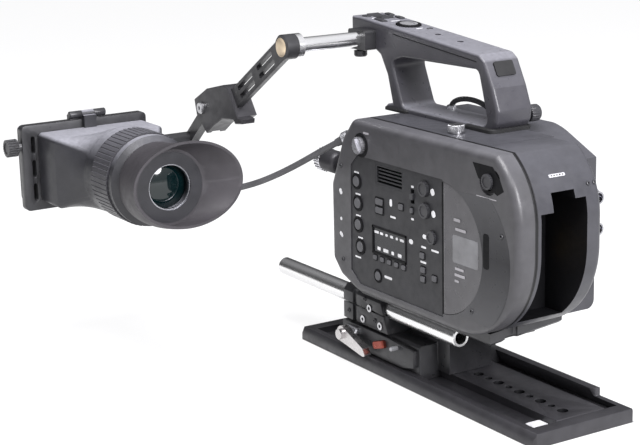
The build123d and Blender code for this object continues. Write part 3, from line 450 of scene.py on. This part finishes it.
def lathe(
    name,
    spot,
    axis,
    profile,
    material,
    body,
    steps=48,
    ribs=0,
    rib_depth=0.0,
    capped=True,
):
    """A round piece about axis through spot, from (distance along the axis, radius) points in mm.

    With ribs, the rim between the profile's widest points is scalloped by rib_depth mm. Without caps
    the profile closes on itself, as a ring.
    """
    turn = facing(axis).to_3x3()
    widest = max(radius for _, radius in profile)
    count = max(steps, ribs * 4)
    shape = bmesh.new()
    loops = []
    for along, radius in profile:
        loop = []
        for i in range(count):
            angle = tau * i / count
            dip = rib_depth if ribs and radius > widest - 0.01 and (i % 4) < 2 else 0.0
            local = Vector(((radius - dip) * cos(angle), (radius - dip) * sin(angle), along))
            loop.append(shape.verts.new(turn @ (local * mm) + spot))
        loops.append(loop)
    if capped:
        bridge(shape, loops)
        close_ends(shape, loops)
    else:
        bridge(shape, loops + loops[:1])
    bmesh.ops.recalc_face_normals(shape, faces=shape.faces)
    return place_piece(name, shape, material, body)


def tube_shape(points, radius, sides=14, capped=True):
    """A bmesh tube of that radius in metres along points."""
    shape = bmesh.new()
    loops = []
    side = None
    for index, point in enumerate(points):
        ahead = points[min(index + 1, len(points) - 1)] - points[max(index - 1, 0)]
        ahead.normalize()
        if side is None:
            side = ahead.cross(Z_AXIS if abs(ahead.z) < 0.9 else X_AXIS).normalized()
        side = (side - ahead * side.dot(ahead)).normalized()
        over = ahead.cross(side)
        loops.append(
            [
                shape.verts.new(
                    point
                    + side * (radius * cos(tau * i / sides))
                    + over * (radius * sin(tau * i / sides))
                )
                for i in range(sides)
            ]
        )
    bridge(shape, loops)
    if capped:
        close_ends(shape, loops)
    bmesh.ops.recalc_face_normals(shape, faces=shape.faces)
    return shape


def surface(node, start, direction):
    """(point, normal) where a ray from start, in metres, first meets a CAD node."""
    hit, point, normal, _ = nodes[node].ray_cast(Vector(start), Vector(direction).normalized())
    if not hit:
        raise ValueError(f"no surface of {node} along that ray")
    return point, normal


# ---------------------------------------------------------------- cable between camera and monitor
CABLE_WIDTH = 0.005
cable_route = [
    (-57.5, 74, 181),
    (-64, 86.5, 173.5),
    (-72.5, 101, 163.5),
    (-82, 117, 153.5),
    (-92, 132.5, 145),
    (-101, 147.5, 139),
    (-113, 170, 132.5),
    (-124, 192, 129.5),
    (-131.5, 212, 131.5),
    (-135, 225.5, 136),
    (-135, 238, 136),
]
guide = bpy.data.curves.new("cable_guide", "CURVE")
guide.dimensions = "3D"
spline = guide.splines.new("NURBS")
spline.points.add(len(cable_route) - 1)
for point, spot in zip(spline.points, cable_route):
    point.co = (*[part * mm for part in spot], 1.0)
spline.order_u = 3
spline.use_endpoint_u = True
spline.resolution_u = 12
guide_object = bpy.data.objects.new("cable_guide", guide)
bpy.context.scene.collection.objects.link(guide_object)
bpy.context.view_layer.update()
centre_line = bpy.data.meshes.new_from_object(guide_object)
cable_points = [vertex.co.copy() for vertex in centre_line.vertices]
bpy.data.objects.remove(guide_object)

# The cable crosses four joints and is cut into four runs end to end, one for each.
crossings = [("camera", "rod"), ("rod", "arm"), ("arm", "lower_arm"), ("lower_arm", "finder")]
run_size = len(cable_points) // len(crossings)
for index, (near, far) in enumerate(crossings):
    first = index * run_size
    last = len(cable_points) - 1 if index == len(crossings) - 1 else first + run_size
    points = cable_points[first : last + 1]
    run_shape = tube_shape(points, CABLE_WIDTH / 2, capped=False)
    run = link_piece(f"cable_run_{index + 1}", run_shape, FINISHES["cable_rubber"])
    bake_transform(run)
    if index == 0:
        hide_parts("monitor_cable")

# ---------------------------------------------------------------- control side: printed marks and keys
panel_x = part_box("control_panel")[0].x
cover_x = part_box("left_cover")[0].x
LEFT = (-1, 0, 0)


def beside(plane, y, z, lift=0.0):
    """A point at y and z in mm, lift mm to the left of a face that lies at x = plane metres."""
    return Vector((plane - lift * mm, y * mm, z * mm))


def on_panel(y, z, lift=0.0):
    """A point on the control panel's face, lift mm above it, at y and z in mm."""
    return beside(panel_x, y, z, lift)


def spot_mm(node):
    """(y, z) of a node's centre in mm."""
    centre = middle(node) / mm
    return centre.y, centre.z


def dash(y, z, width, height=1.3):
    """A printed mark with round ends on the control panel, as one part for slabs."""
    return (on_panel(y, z, -0.04), LEFT, rounded_outline(width, height, height / 2), 0.12, 0.03, 0.0)


button_spots = [spot_mm(f"assign_button_{n}") for n in (1, 2, 3, 4)]
dial_spots = [spot_mm("audio_dial_1"), spot_mm("audio_dial_2")]
marks = []
for y, z in button_spots:
    marks.append(dash(y, z + 6.9, 6.6))
last_y, last_z = button_spots[-1]
marks.append(dash(last_y + 3.6, last_z - 8.9, 8.0))
for y, z in dial_spots:
    marks.append(
        (on_panel(y - 9.4, z - 0.8, -0.04), LEFT, rounded_outline(4.6, 5.0, 2.0), 0.14, 0.04, 0.4)
    )
display_low, display_high = (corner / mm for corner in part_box("status_display"))
jog_y, jog_z = spot_mm("jog_dial")
menu_y, menu_z = spot_mm("menu_button")
gain_y, gain_z = spot_mm("gain_switch")
marks += [
    dash(-45.2, 123.5, 6.0, 1.5),
    dash(-59.0, 123.4, 9.0, 1.5),
    dash(-44.6, 112.2, 7.2, 1.5),
    dash(menu_y - 13.5, menu_z + 1.6, 10.0, 2.0),
    dash(-6.8, 138.2, 7.0, 1.5),
    dash(jog_y + 9.2, jog_z - 1.2, 5.5, 3.2),
    dash(-29.5, 124.4, 5.0, 3.6),
    dash(gain_y, gain_z + 7.2, 3.4, 1.6),
    dash(-31.6, 141.6, 3.4, 1.6),
    dash(-4.2, 148.6, 3.2, 5.6),
]
slabs("panel_print", marks, white_ink, "camera")

# icons down the panel's front strip: three small rounded shapes
icon_y = button_spots[0][0] + 21.5
slabs(
    "front_strip_icons",
    [
        (beside(cover_x, icon_y, z, 0.02), LEFT, outline, 0.1, 0.03, spin)
        for z, outline, spin in (
            (145.5, rounded_outline(3.4, 4.6, 1.2), 0.5),
            (124.0, rounded_outline(2.8, 2.8, 1.4), 0.0),
            (111.5, rounded_outline(3.0, 5.0, 1.2), 0.9),
        )
    ],
    white_ink,
    "camera",
)

# dark rings round the four assign buttons and the menu button
for number, (y, z) in enumerate(button_spots, start=1):
    lathe(
        f"button_ring_{number}",
        on_panel(y, z, -0.1),
        LEFT,
        [(0, 4.5), (0.7, 4.5), (1.0, 4.7), (1.0, 5.9), (0.6, 6.4), (0, 6.4)],
        gap_and_shade_black,
        "camera",
        capped=False,
    )
lathe(
    "menu_ring",
    on_panel(menu_y, menu_z, -0.1),
    LEFT,
    [(0, 4.0), (0.6, 4.0), (0.8, 4.2), (0.8, 4.9), (0.5, 5.4), (0, 5.4)],
    gap_and_shade_black,
    "camera",
    capped=False,
)

# small square keys in dark wells
key_spots = [(-43.8, 117.0), (-44.6, 106.5), (-44.4, 99.6), (-58.5, 103.0), (-17.5, 148.0)]
wells = [
    (on_panel(y, z, -0.05), LEFT, rounded_outline(7.0, 6.0, 1.0), 0.25, 0.1, 0.0) for y, z in key_spots
]
caps = [(on_panel(y, z, 0.15), LEFT, rounded_outline(5.0, 4.2, 0.9), 1.1, 0.3, 0.0) for y, z in key_spots]
# slide switch below the gain switch
switch_y, switch_z = -31.4, 148.0
wells.append((on_panel(switch_y, switch_z, -0.05), LEFT, rounded_outline(4.2, 6.0, 1.0), 0.25, 0.1, 0.0))
caps.append((on_panel(switch_y, switch_z, 0.15), LEFT, rounded_outline(3.0, 3.6, 0.7), 1.5, 0.4, 0.0))
# dark framed block of two keys behind the assign buttons
wells.append((on_panel(10.5, 143.5, -0.05), LEFT, rounded_outline(12.0, 13.5, 1.2), 0.3, 0.1, 0.0))
caps += [
    (on_panel(10.5, z, 0.2), LEFT, rounded_outline(9.0, 4.6, 1.0), 1.0, 0.3, 0.0) for z in (146.7, 140.2)
]
# row of small keys below the display
row_z = display_low.z - 4.2
row_low, row_high = display_low.y + 2.5, display_high.y - 2.5
for i in range(5):
    y = row_low + (row_high - row_low) * i / 4
    wells.append((on_panel(y, row_z, -0.05), LEFT, rounded_outline(6.4, 5.0, 1.2), 0.25, 0.1, 0.0))
    caps.append((on_panel(y, row_z, 0.15), LEFT, rounded_outline(4.6, 3.4, 1.0), 0.9, 0.3, 0.0))
slabs("key_wells", wells, gap_and_shade_black, "camera")
slabs("small_keys", caps, FINISHES["button_rubber"], "camera")

# display: dark frame and a row of pale segments behind its glass
frame_parts = []
display_mid = (display_low + display_high) / 2
wide, high = display_high.y - display_low.y, display_high.z - display_low.z
for dy, dz, w, h in (
    (0, high / 2 + 0.5, wide + 3, 1.6),
    (0, -high / 2 - 0.5, wide + 3, 1.6),
    (wide / 2 + 0.5, 0, 1.6, high + 3),
    (-wide / 2 - 0.5, 0, 1.6, high + 3),
):
    bar_spot = on_panel(display_mid.y + dy, display_mid.z + dz, -0.05)
    frame_parts.append((bar_spot, LEFT, rounded_outline(w, h, 0.7), 0.5, 0.2, 0.0))
slabs("display_frame", frame_parts, gap_and_shade_black, "camera")
display_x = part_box("status_display")[0].x
segments = []
for widths, height, first_y, step, segment_z in (
    ((5.6, 4.2, 3.0, 3.8, 2.6, 5.0), 1.9, display_high.y - 4.0, 6.6, display_high.z - 3.4),
    ((4.0, 6.5, 3.2, 4.6), 2.6, display_high.y - 7.0, 9.0, display_low.z + 3.4),
):
    for i, width in enumerate(widths):
        segment_spot = beside(display_x, first_y - i * step, segment_z, 0.02)
        segments.append((segment_spot, LEFT, rounded_outline(width, height, 0.6), 0.08, 0.02, 0.0))
slabs("display_segments", segments, white_ink, "camera")

# ---------------------------------------------------------------- cover: crescent, painted shade of the knob's recess, panel gap
door_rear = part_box("media_door")[0].y / mm


def arc_points(centre, radius, first, last, steps):
    """Points (y, z) on an arc, in mm, with angles in degrees from +Y towards +Z."""
    angles = [radians(first + (last - first) * i / steps) for i in range(steps + 1)]
    return [(centre[0] + radius * cos(a), centre[1] + radius * sin(a)) for a in angles]


def flat_patch(name, points, material, lift=0.05):
    """A thin patch on the left cover's face, outlined by (y, z) points in mm."""
    outline = [(-y, z) for y, z in points]
    spot = Vector((cover_x - lift * mm, 0, 0))
    return slabs(name, [(spot, LEFT, outline, 0.06, 0.0, 0.0)], material, "camera")


crescent_centre = (door_rear + 48.5, 128.0)
crescent = arc_points(crescent_centre, 49.2, 115, 245, 24)
crescent += arc_points((-88.0, 128.0), 57.0, 233, 127, 30)
flat_patch("smoked_crescent", crescent, smoke_gloss)
# a flat black patch beside the rear knob: painted shade of the recess it sits in
knob_recess_shade = [(-104, 196), (-126, 196), (-134, 188), (-138, 181), (-131, 177), (-110, 186)]
flat_patch("knob_recess_shade", knob_recess_shade, gap_and_shade_black, lift=0.02)
slabs(
    "panel_gap",
    [(on_panel(-68.3, 127.3, -0.02), LEFT, rounded_outline(1.4, 97.0, 0.4), 0.15, 0.05, 0.0)],
    gap_and_shade_black,
    "camera",
)

# ---------------------------------------------------------------- media door marks
door_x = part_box("media_door")[0].x
window_mid = middle("door_window") / mm
door_marks = []
for y, z, w, h in (
    (window_mid.y + 9.0, window_mid.z + 21.0, 7.5, 2.2),
    (window_mid.y + 5.0, window_mid.z + 14.5, 12.0, 2.0),
    (window_mid.y + 6.5, window_mid.z - 14.0, 10.0, 1.8),
    (window_mid.y + 6.0, window_mid.z - 18.5, 12.0, 2.0),
    (window_mid.y + 9.5, window_mid.z - 23.0, 5.0, 1.8),
):
    door_marks.append((beside(door_x, y, z, 0.02), LEFT, rounded_outline(w, h, 0.6), 0.1, 0.03, 0.0))
slabs("door_print", door_marks, grey_ink, "door")

# ---------------------------------------------------------------- cover: rings, finger notch, print, screws
knob_y, knob_z = spot_mm("rear_knob")
lathe(
    "rear_knob_collar",
    beside(cover_x, knob_y, knob_z, -1.7),
    LEFT,
    [(0, 6.1), (1.0, 6.1), (1.4, 6.4), (1.4, 7.4), (0.9, 8.0), (0, 8.0)],
    gap_and_shade_black,
    "camera",
    capped=False,
)
lathe(
    "small_jack_ring",
    beside(cover_x, knob_y - 11.0, knob_z + 2.5, -1.7),
    LEFT,
    [(0, 1.4), (0.8, 1.4), (1.0, 1.6), (1.0, 2.6), (0.7, 3.0), (0, 3.0)],
    bare_silver,
    "camera",
    capped=False,
)
slabs(
    "door_finger_notch",
    [(beside(cover_x, -119.0, 136.0, 0.06), LEFT, rounded_outline(6.6, 25.0, 2.2), 0.12, 0.05, 0.0)],
    gap_and_shade_black,
    "camera",
)
nd_y, nd_z = spot_mm("nd_dial")
lathe(
    "filter_dial_ring",
    beside(cover_x, nd_y, nd_z, -0.3),
    LEFT,
    [(0, 6.9), (0.8, 6.9), (1.1, 7.2), (1.1, 8.6), (0.6, 9.2), (0, 9.2)],
    gap_and_shade_black,
    "camera",
    capped=False,
)
slabs(
    "cover_print",
    [
        (
            beside(cover_x, nd_y - 7.0, nd_z + 10.0, 0.02),
            LEFT,
            rounded_outline(7.0, 1.6, 0.7),
            0.1,
            0.03,
            0.0,
        ),
        (
            beside(cover_x, knob_y + 2.0, knob_z - 11.5, 0.02),
            LEFT,
            rounded_outline(22.0, 0.7, 0.3),
            0.08,
            0.02,
            0.0,
        ),
    ],
    grey_ink,
    "camera",
)


def screw(name, node, start, direction, radius):
    """A dark domed socket screw on a CAD node of the camera, where the ray meets it."""
    point, normal = surface(node, Vector(start) * mm, direction)
    lathe(
        name,
        point - normal * 0.2 * mm,
        normal,
        [
            (0, radius),
            (0.7, radius),
            (1.1, radius * 0.86),
            (1.3, radius * 0.5),
            (0.5, radius * 0.42),
            (0.45, 0.05),
        ],
        FINISHES["dial_black"],
        "camera",
        steps=24,
    )


# screws that hold the cover and casing, on the body's left and right
FAR_OUT = 120  # mm from the middle of the rig, where the rays that place the side screws start
RIGHT = (1, 0, 0)
for number, (y, z) in enumerate(((61.5, 166.0), (61.0, 92.0), (-103.0, 90.0), (-136.0, 150.0)), start=1):
    screw(f"cover_screw_{number}", "left_cover", (-FAR_OUT, y, z), RIGHT, 1.7)
for number, (y, z) in enumerate(((60.0, 160.0), (55.0, 84.0), (-92.0, 80.0), (-92.0, 194.0)), start=1):
    screw(f"casing_screw_{number}", "body_casing", (FAR_OUT, y, z), LEFT, 2.0)

# ---------------------------------------------------------------- right side: vents, socket cover, rosette
casing_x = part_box("body_casing")[1].x
vent_bar = rounded_outline(2.6, 22.0, 1.2)
vent_bars = [
    (beside(casing_x, 8 + 6.0 * i, 178.0, 0.05), RIGHT, vent_bar, 0.2, 0.1, 0.0)
    for i in range(7)
]
slabs("side_vents", vent_bars, gap_and_shade_black, "camera")
slabs(
    "socket_cover_plate",
    [(beside(casing_x, -52.0, 112.0, 0.1), RIGHT, rounded_outline(64.0, 26.0, 3.0), 1.4, 0.5, 0.0)],
    FINISHES["door_smoke"],
    "camera",
)
lathe(
    "grip_rosette",
    beside(casing_x, 36.0, 104.0, 0.1),
    RIGHT,
    [(0, 15.0), (2.0, 15.0), (2.6, 14.4), (2.6, 6.0), (1.2, 5.0), (1.2, 2.2), (0.2, 0.4)],
    FINISHES["anodised_grey"],
    "camera",
    ribs=36,
    rib_depth=0.6,
)

# ---------------------------------------------------------------- rear: pale strip and screws
strip_point, strip_normal = surface("rear_housing", (-21.6 * mm, -0.3, 188 * mm), Y_AXIS)
slabs(
    "rear_strip",
    [(strip_point, strip_normal, rounded_outline(14.0, 2.4, 0.8), 0.35, 0.12, 0.0)],
    pale_plastic,
    "camera",
)
slabs(
    "rear_strip_marks",
    [
        (
            strip_point + strip_normal * 0.3 * mm + X_AXIS * (i - 2) * 2.4 * mm,
            strip_normal,
            rounded_outline(1.2, 0.8, 0.3),
            0.1,
            0.03,
            0.0,
        )
        for i in range(5)
    ],
    gap_and_shade_black,
    "camera",
)
for number, x in enumerate((2.0, 7.5), start=1):
    screw(f"rear_screw_{number}", "rear_housing", (x, -300, 180), Y_AXIS, 1.5)


# ---------------------------------------------------------------- handle: top controls, seams, painted foot shade, strap
def handle_top(x, y):
    """(point, normal) on the handle's top face above x, y in mm."""
    return surface("handle", (x * mm, y * mm, 0.35), (0, 0, -1))


record_low, record_high = (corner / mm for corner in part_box("record_button"))
record_y = (record_low.y + record_high.y) / 2
top_point, top_normal = handle_top(9.5, record_y)
slope = Vector((0, top_normal.y, top_normal.z)).normalized()
record_spot = top_point - X_AXIS * top_point.x
lathe(
    "record_ring",
    record_spot - slope * 0.4 * mm,
    slope,
    [(0, 7.4), (1.5, 7.4), (2.0, 7.8), (2.0, 9.2), (1.3, 10.0), (0, 10.0)],
    gap_and_shade_black,
    "camera",
    ribs=24,
    rib_depth=0.4,
    capped=False,
)
top_parts = []
for x, y, w, h, t in (
    (-9.5, 82.0, 5.0, 13.0, 1.0),
    (9.8, 84.0, 4.6, 9.0, 1.2),
    (9.8, 98.0, 4.6, 9.0, 1.2),
    (-10.0, 101.0, 4.6, 8.0, 0.9),
    (7.0, 40.0, 5.0, 3.0, 0.6),
):
    point, normal = handle_top(x, y)
    top_parts.append((point - normal * 0.1 * mm, normal, rounded_outline(w, h, 1.1), t, 0.35, 0.0))
slabs("handle_top_keys", top_parts, FINISHES["dial_black"], "camera")
top_marks = []
for x, y, w, h in (
    (0.0, 76.0, 8.0, 1.2),
    (0.0, 112.0, 5.0, 1.0),
    (-9.5, 92.0, 3.2, 1.0),
    (0.0, 44.0, 6.0, 1.2),
):
    point, normal = handle_top(x, y)
    top_marks.append((point - normal * 0.02 * mm, normal, rounded_outline(w, h, 0.5), 0.1, 0.03, 0.0))
slabs("handle_print", top_marks, white_ink, "camera")


# dark parting line along each side of the grip, which rises towards the front
GRIP_RISE = 13 / 143
grip_runs = [9.5 * i for i in range(12)]
for label, side in (("left", -1), ("right", 1)):
    starts = [Vector((side * 60, -48 + run, 253.4 + run * GRIP_RISE)) * mm for run in grip_runs]
    seam_points = [surface("handle", start, (-side, 0, 0))[0] for start in starts]
    seam_shape = tube_shape(seam_points, 0.35 * mm, sides=8)
    place_piece(f"handle_seam_{label}", seam_shape, gap_and_shade_black, "camera", smooth_angle=60)

# black slabs at the feet of the rear and front posts: painted shade where the posts' feet curve in and face
# down
body_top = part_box("body_casing")[1].z / mm
slabs(
    "handle_foot_shade",
    [
        (
            Vector((0, y * mm, (body_top - 0.1) * mm)),
            Z_AXIS,
            rounded_outline(width, length, 5.0),
            thickness,
            0.8,
            0.0,
        )
        for y, width, length, thickness in ((-52.0, 38.0, 34.0, 3.2), (52.0, 37.0, 32.0, 2.6))
    ],
    FINISHES["pad_rubber"],
    "camera",
)
lathe(
    "handle_side_knob",
    Vector((15.5, -62.0, 214.0)) * mm,
    RIGHT,
    [(0, 3.0), (4.0, 3.0), (4.5, 5.6), (5.2, 6.2), (12.0, 6.2), (12.8, 5.6), (12.8, 0.1)],
    FINISHES["dial_black"],
    "camera",
    ribs=18,
    rib_depth=0.5,
)

# dark bowed strap bracket seen through the handle's window, with a silver end
strap_arc = [
    Vector((10, -8 + 25 * cos(pi * i / 16), body_top + 5 + 9 * sin(pi * i / 16))) * mm for i in range(17)
]
strap_shape = tube_shape(strap_arc, 2.0 * mm)
place_piece("strap_bow", strap_shape, FINISHES["dial_black"], "camera", smooth_angle=60)
lathe(
    "strap_bow_end",
    Vector((10, 17, body_top - 0.2)) * mm,
    Z_AXIS,
    [(0, 3.6), (6.4, 3.6), (7.0, 3.0), (7.0, 0.1)],
    bare_silver,
    "camera",
)

# ---------------------------------------------------------------- base: lock parts, bracket screws, painted glint on the channel's stop
jaw_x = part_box("base_carriage")[0].x / mm
lathe(
    "lock_barrel",
    Vector((jaw_x - 0.1, 80, 25)) * mm - Y_AXIS * 8 * mm,
    Y_AXIS,
    [(0, 3.0), (1.0, 4.2), (15.0, 4.2), (16.0, 3.0)],
    bare_silver,
    "camera",
)
slabs(
    "lock_wedge",
    [(Vector((jaw_x + 0.1, 42, 23.4)) * mm, LEFT, rounded_outline(15.0, 6.4, 2.0), 3.4, 1.0, 0.3)],
    red_metal,
    "camera",
)
lathe(
    "lock_stop_pin",
    Vector((jaw_x + 0.2, 19.5, 26.5)) * mm,
    LEFT,
    [(0, 1.7), (6.0, 1.7), (6.8, 1.1), (6.8, 0.1)],
    pale_plastic,
    "camera",
)
for number, (y, z) in enumerate(((78.4, 38.5), (64.7, 55.0), (51.0, 40.5), (88.0, 40.0)), start=1):
    screw(f"bracket_screw_{number}", "rod_bracket", (-FAR_OUT, y, z), RIGHT, 1.9)
# white slab at the channel's rear end: an end stop, its whiteness a painted reflection
channel_floor = surface("dovetail_plate", Vector((-24, -129, 30)) * mm, (0, 0, -1))[0]
slabs(
    "channel_stop_glint",
    [(channel_floor, Z_AXIS, rounded_outline(13.0, 12.0, 1.0), 1.6, 0.3, 0.0)],
    white_ink,
    "base_plate",
)

# ---------------------------------------------------------------- lens lever's grip ring
lever_low, lever_high = (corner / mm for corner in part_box("lens_lock_lever"))
lathe(
    "lever_grip_ring",
    Vector((lever_low.x + 9, lever_high.y - 10.5, 160)) * mm,
    Y_AXIS,
    [(0, 8.6), (0.6, 9.8), (7.4, 9.8), (8.0, 9.0), (8.0, 7.0)],
    bare_silver,
    "lens_lever",
    ribs=24,
    rib_depth=0.7,
)

# ---------------------------------------------------------------- cable plug's grip ring and lens retainer
plug_way = (cable_points[0] - cable_points[1]).normalized()
lathe(
    "plug_grip",
    cable_points[0] + plug_way * 7.4 * mm,
    plug_way,
    [(0, 4.6), (0.4, 5.3), (5.0, 5.3), (5.4, 4.6)],
    bare_silver,
    "camera",
    ribs=24,
    rib_depth=0.4,
)
# bright retaining ring round the eyepiece lens
eye = middle("eyepiece_lens")
lathe(
    "lens_retainer",
    Vector((eye.x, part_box("loupe_barrel")[0].y + 1.0 * mm, eye.z)),
    Y_AXIS,
    [(0, 16.6), (0, 17.4), (1.2, 17.4), (1.2, 16.2)],
    FINISHES["connector_metal"],
    "loupe",
    steps=64,
    capped=False,
)


# ---------------------------------------------------------------- light and camera
def area_light(name, spot, target, size, power, colour):
    lamp = bpy.data.lights.new(name, "AREA")
    lamp.shape = "DISK"
    lamp.size = size
    lamp.energy = power
    lamp.color = colour
    holder = bpy.data.objects.new(name, lamp)
    bpy.context.scene.collection.objects.link(holder)
    holder.location = spot
    holder.rotation_euler = (Vector(target) - Vector(spot)).to_track_quat("-Z", "Y").to_euler()


centre = (cad_low + cad_high) / 2
area_light("top_light", (-0.5, -0.5, 1.7), centre, 1.0, 33.0, (1.0, 0.99, 1.0))
area_light("rear_light", (0.1, -2.0, 1.1), centre, 0.9, 56.0, (0.98, 0.97, 1.0))

world = bpy.data.worlds.new("studio")
world.use_nodes = True
background = world.node_tree.nodes["Background"]
background.inputs["Color"].default_value = (0.97, 0.97, 1.0, 1.0)
# the studio is brightest overhead and behind the camera body, and dim at its sides
sky = world.node_tree
toward = sky.nodes.new("ShaderNodeVectorMath")
toward.operation = "DOT_PRODUCT"
toward.inputs[1].default_value = (0.0, -0.5, 0.87)
wire(sky, sky.nodes.new("ShaderNodeTexCoord").outputs["Generated"], toward.inputs[0])
wire(sky, spread(sky, toward.outputs["Value"], 0.08, 1.1, 0.45, 0.55), background.inputs["Strength"])
bpy.context.scene.world = world

FLOOR_REACH = 14.0
FLOOR_DROP = 0.0002  # below the plate's underside, so that the two faces don't flicker
floor_mesh = bpy.data.meshes.new("floor")
corners = [(FLOOR_REACH * x, FLOOR_REACH * y, 0) for x, y in ((-1, -1), (1, -1), (1, 1), (-1, 1))]
floor_mesh.from_pydata(corners, [], [(0, 1, 2, 3)])
paper = finish("floor_paper", (0.3, 0.3, 0.3), 0.7, grain=1.5, depth=0.02, mottle=0.01, uneven=0.03)
paper_shader = paper.node_tree.nodes["Principled BSDF"]
paper_shader.inputs["Specular IOR Level"].default_value = 0.0
paper_shader.inputs["Emission Color"].default_value = (1.0, 1.0, 1.0, 1.0)
# the paper glows as a lit sweep does, except under the plate, where no light reaches it
FLOOR_GLOW = 0.72
paper_tree = paper.node_tree
plate_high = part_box("dovetail_plate")[1]
outside = []
for axis, half in (("X", plate_high.x), ("Y", plate_high.y)):
    off_centre = distance(paper_tree, axis, 0.0)
    outside.append(spread(paper_tree, off_centre, 0.0, FLOOR_GLOW, half, 0.5 * mm))
glow = paper_tree.nodes.new("ShaderNodeMath")
glow.operation = "MAXIMUM"
for socket, value in zip(glow.inputs, outside):
    wire(paper_tree, value, socket)
wire(paper_tree, glow.outputs["Value"], paper_shader.inputs["Emission Strength"])
floor_mesh.materials.append(paper)
floor = bpy.data.objects.new("floor", floor_mesh)
bpy.context.scene.collection.objects.link(floor)
floor.location.z = cad_low.z - FLOOR_DROP

bpy.context.scene.view_settings.view_transform = "Standard"
bpy.context.scene.view_settings.look = "None"

# the view of the photo: yaw from +Y towards +X, pitch downwards, roll about the way it looks
yaw = radians(31.83)
pitch = radians(13.88)
roll = radians(-1.35)
viewpoint = (-0.7272, -0.9777, 0.4262)
ahead = Vector((sin(yaw) * cos(pitch), cos(yaw) * cos(pitch), -sin(pitch)))
level = Vector((cos(yaw), -sin(yaw), 0))
above = level.cross(ahead)
right = level * cos(roll) + above * sin(roll)
over = above * cos(roll) - level * sin(roll)
lens = bpy.data.cameras.new("camera_view")
lens.sensor_width = 36.0
lens.lens = 92.7
lens.clip_start = 0.01
lens.clip_end = 60.0
viewer = bpy.data.objects.new("camera_view", lens)
bpy.context.scene.collection.objects.link(viewer)
turn = Matrix((right, over, -ahead)).transposed().to_4x4()
viewer.matrix_world = Matrix.Translation(viewpoint) @ turn
bpy.context.scene.camera = viewer
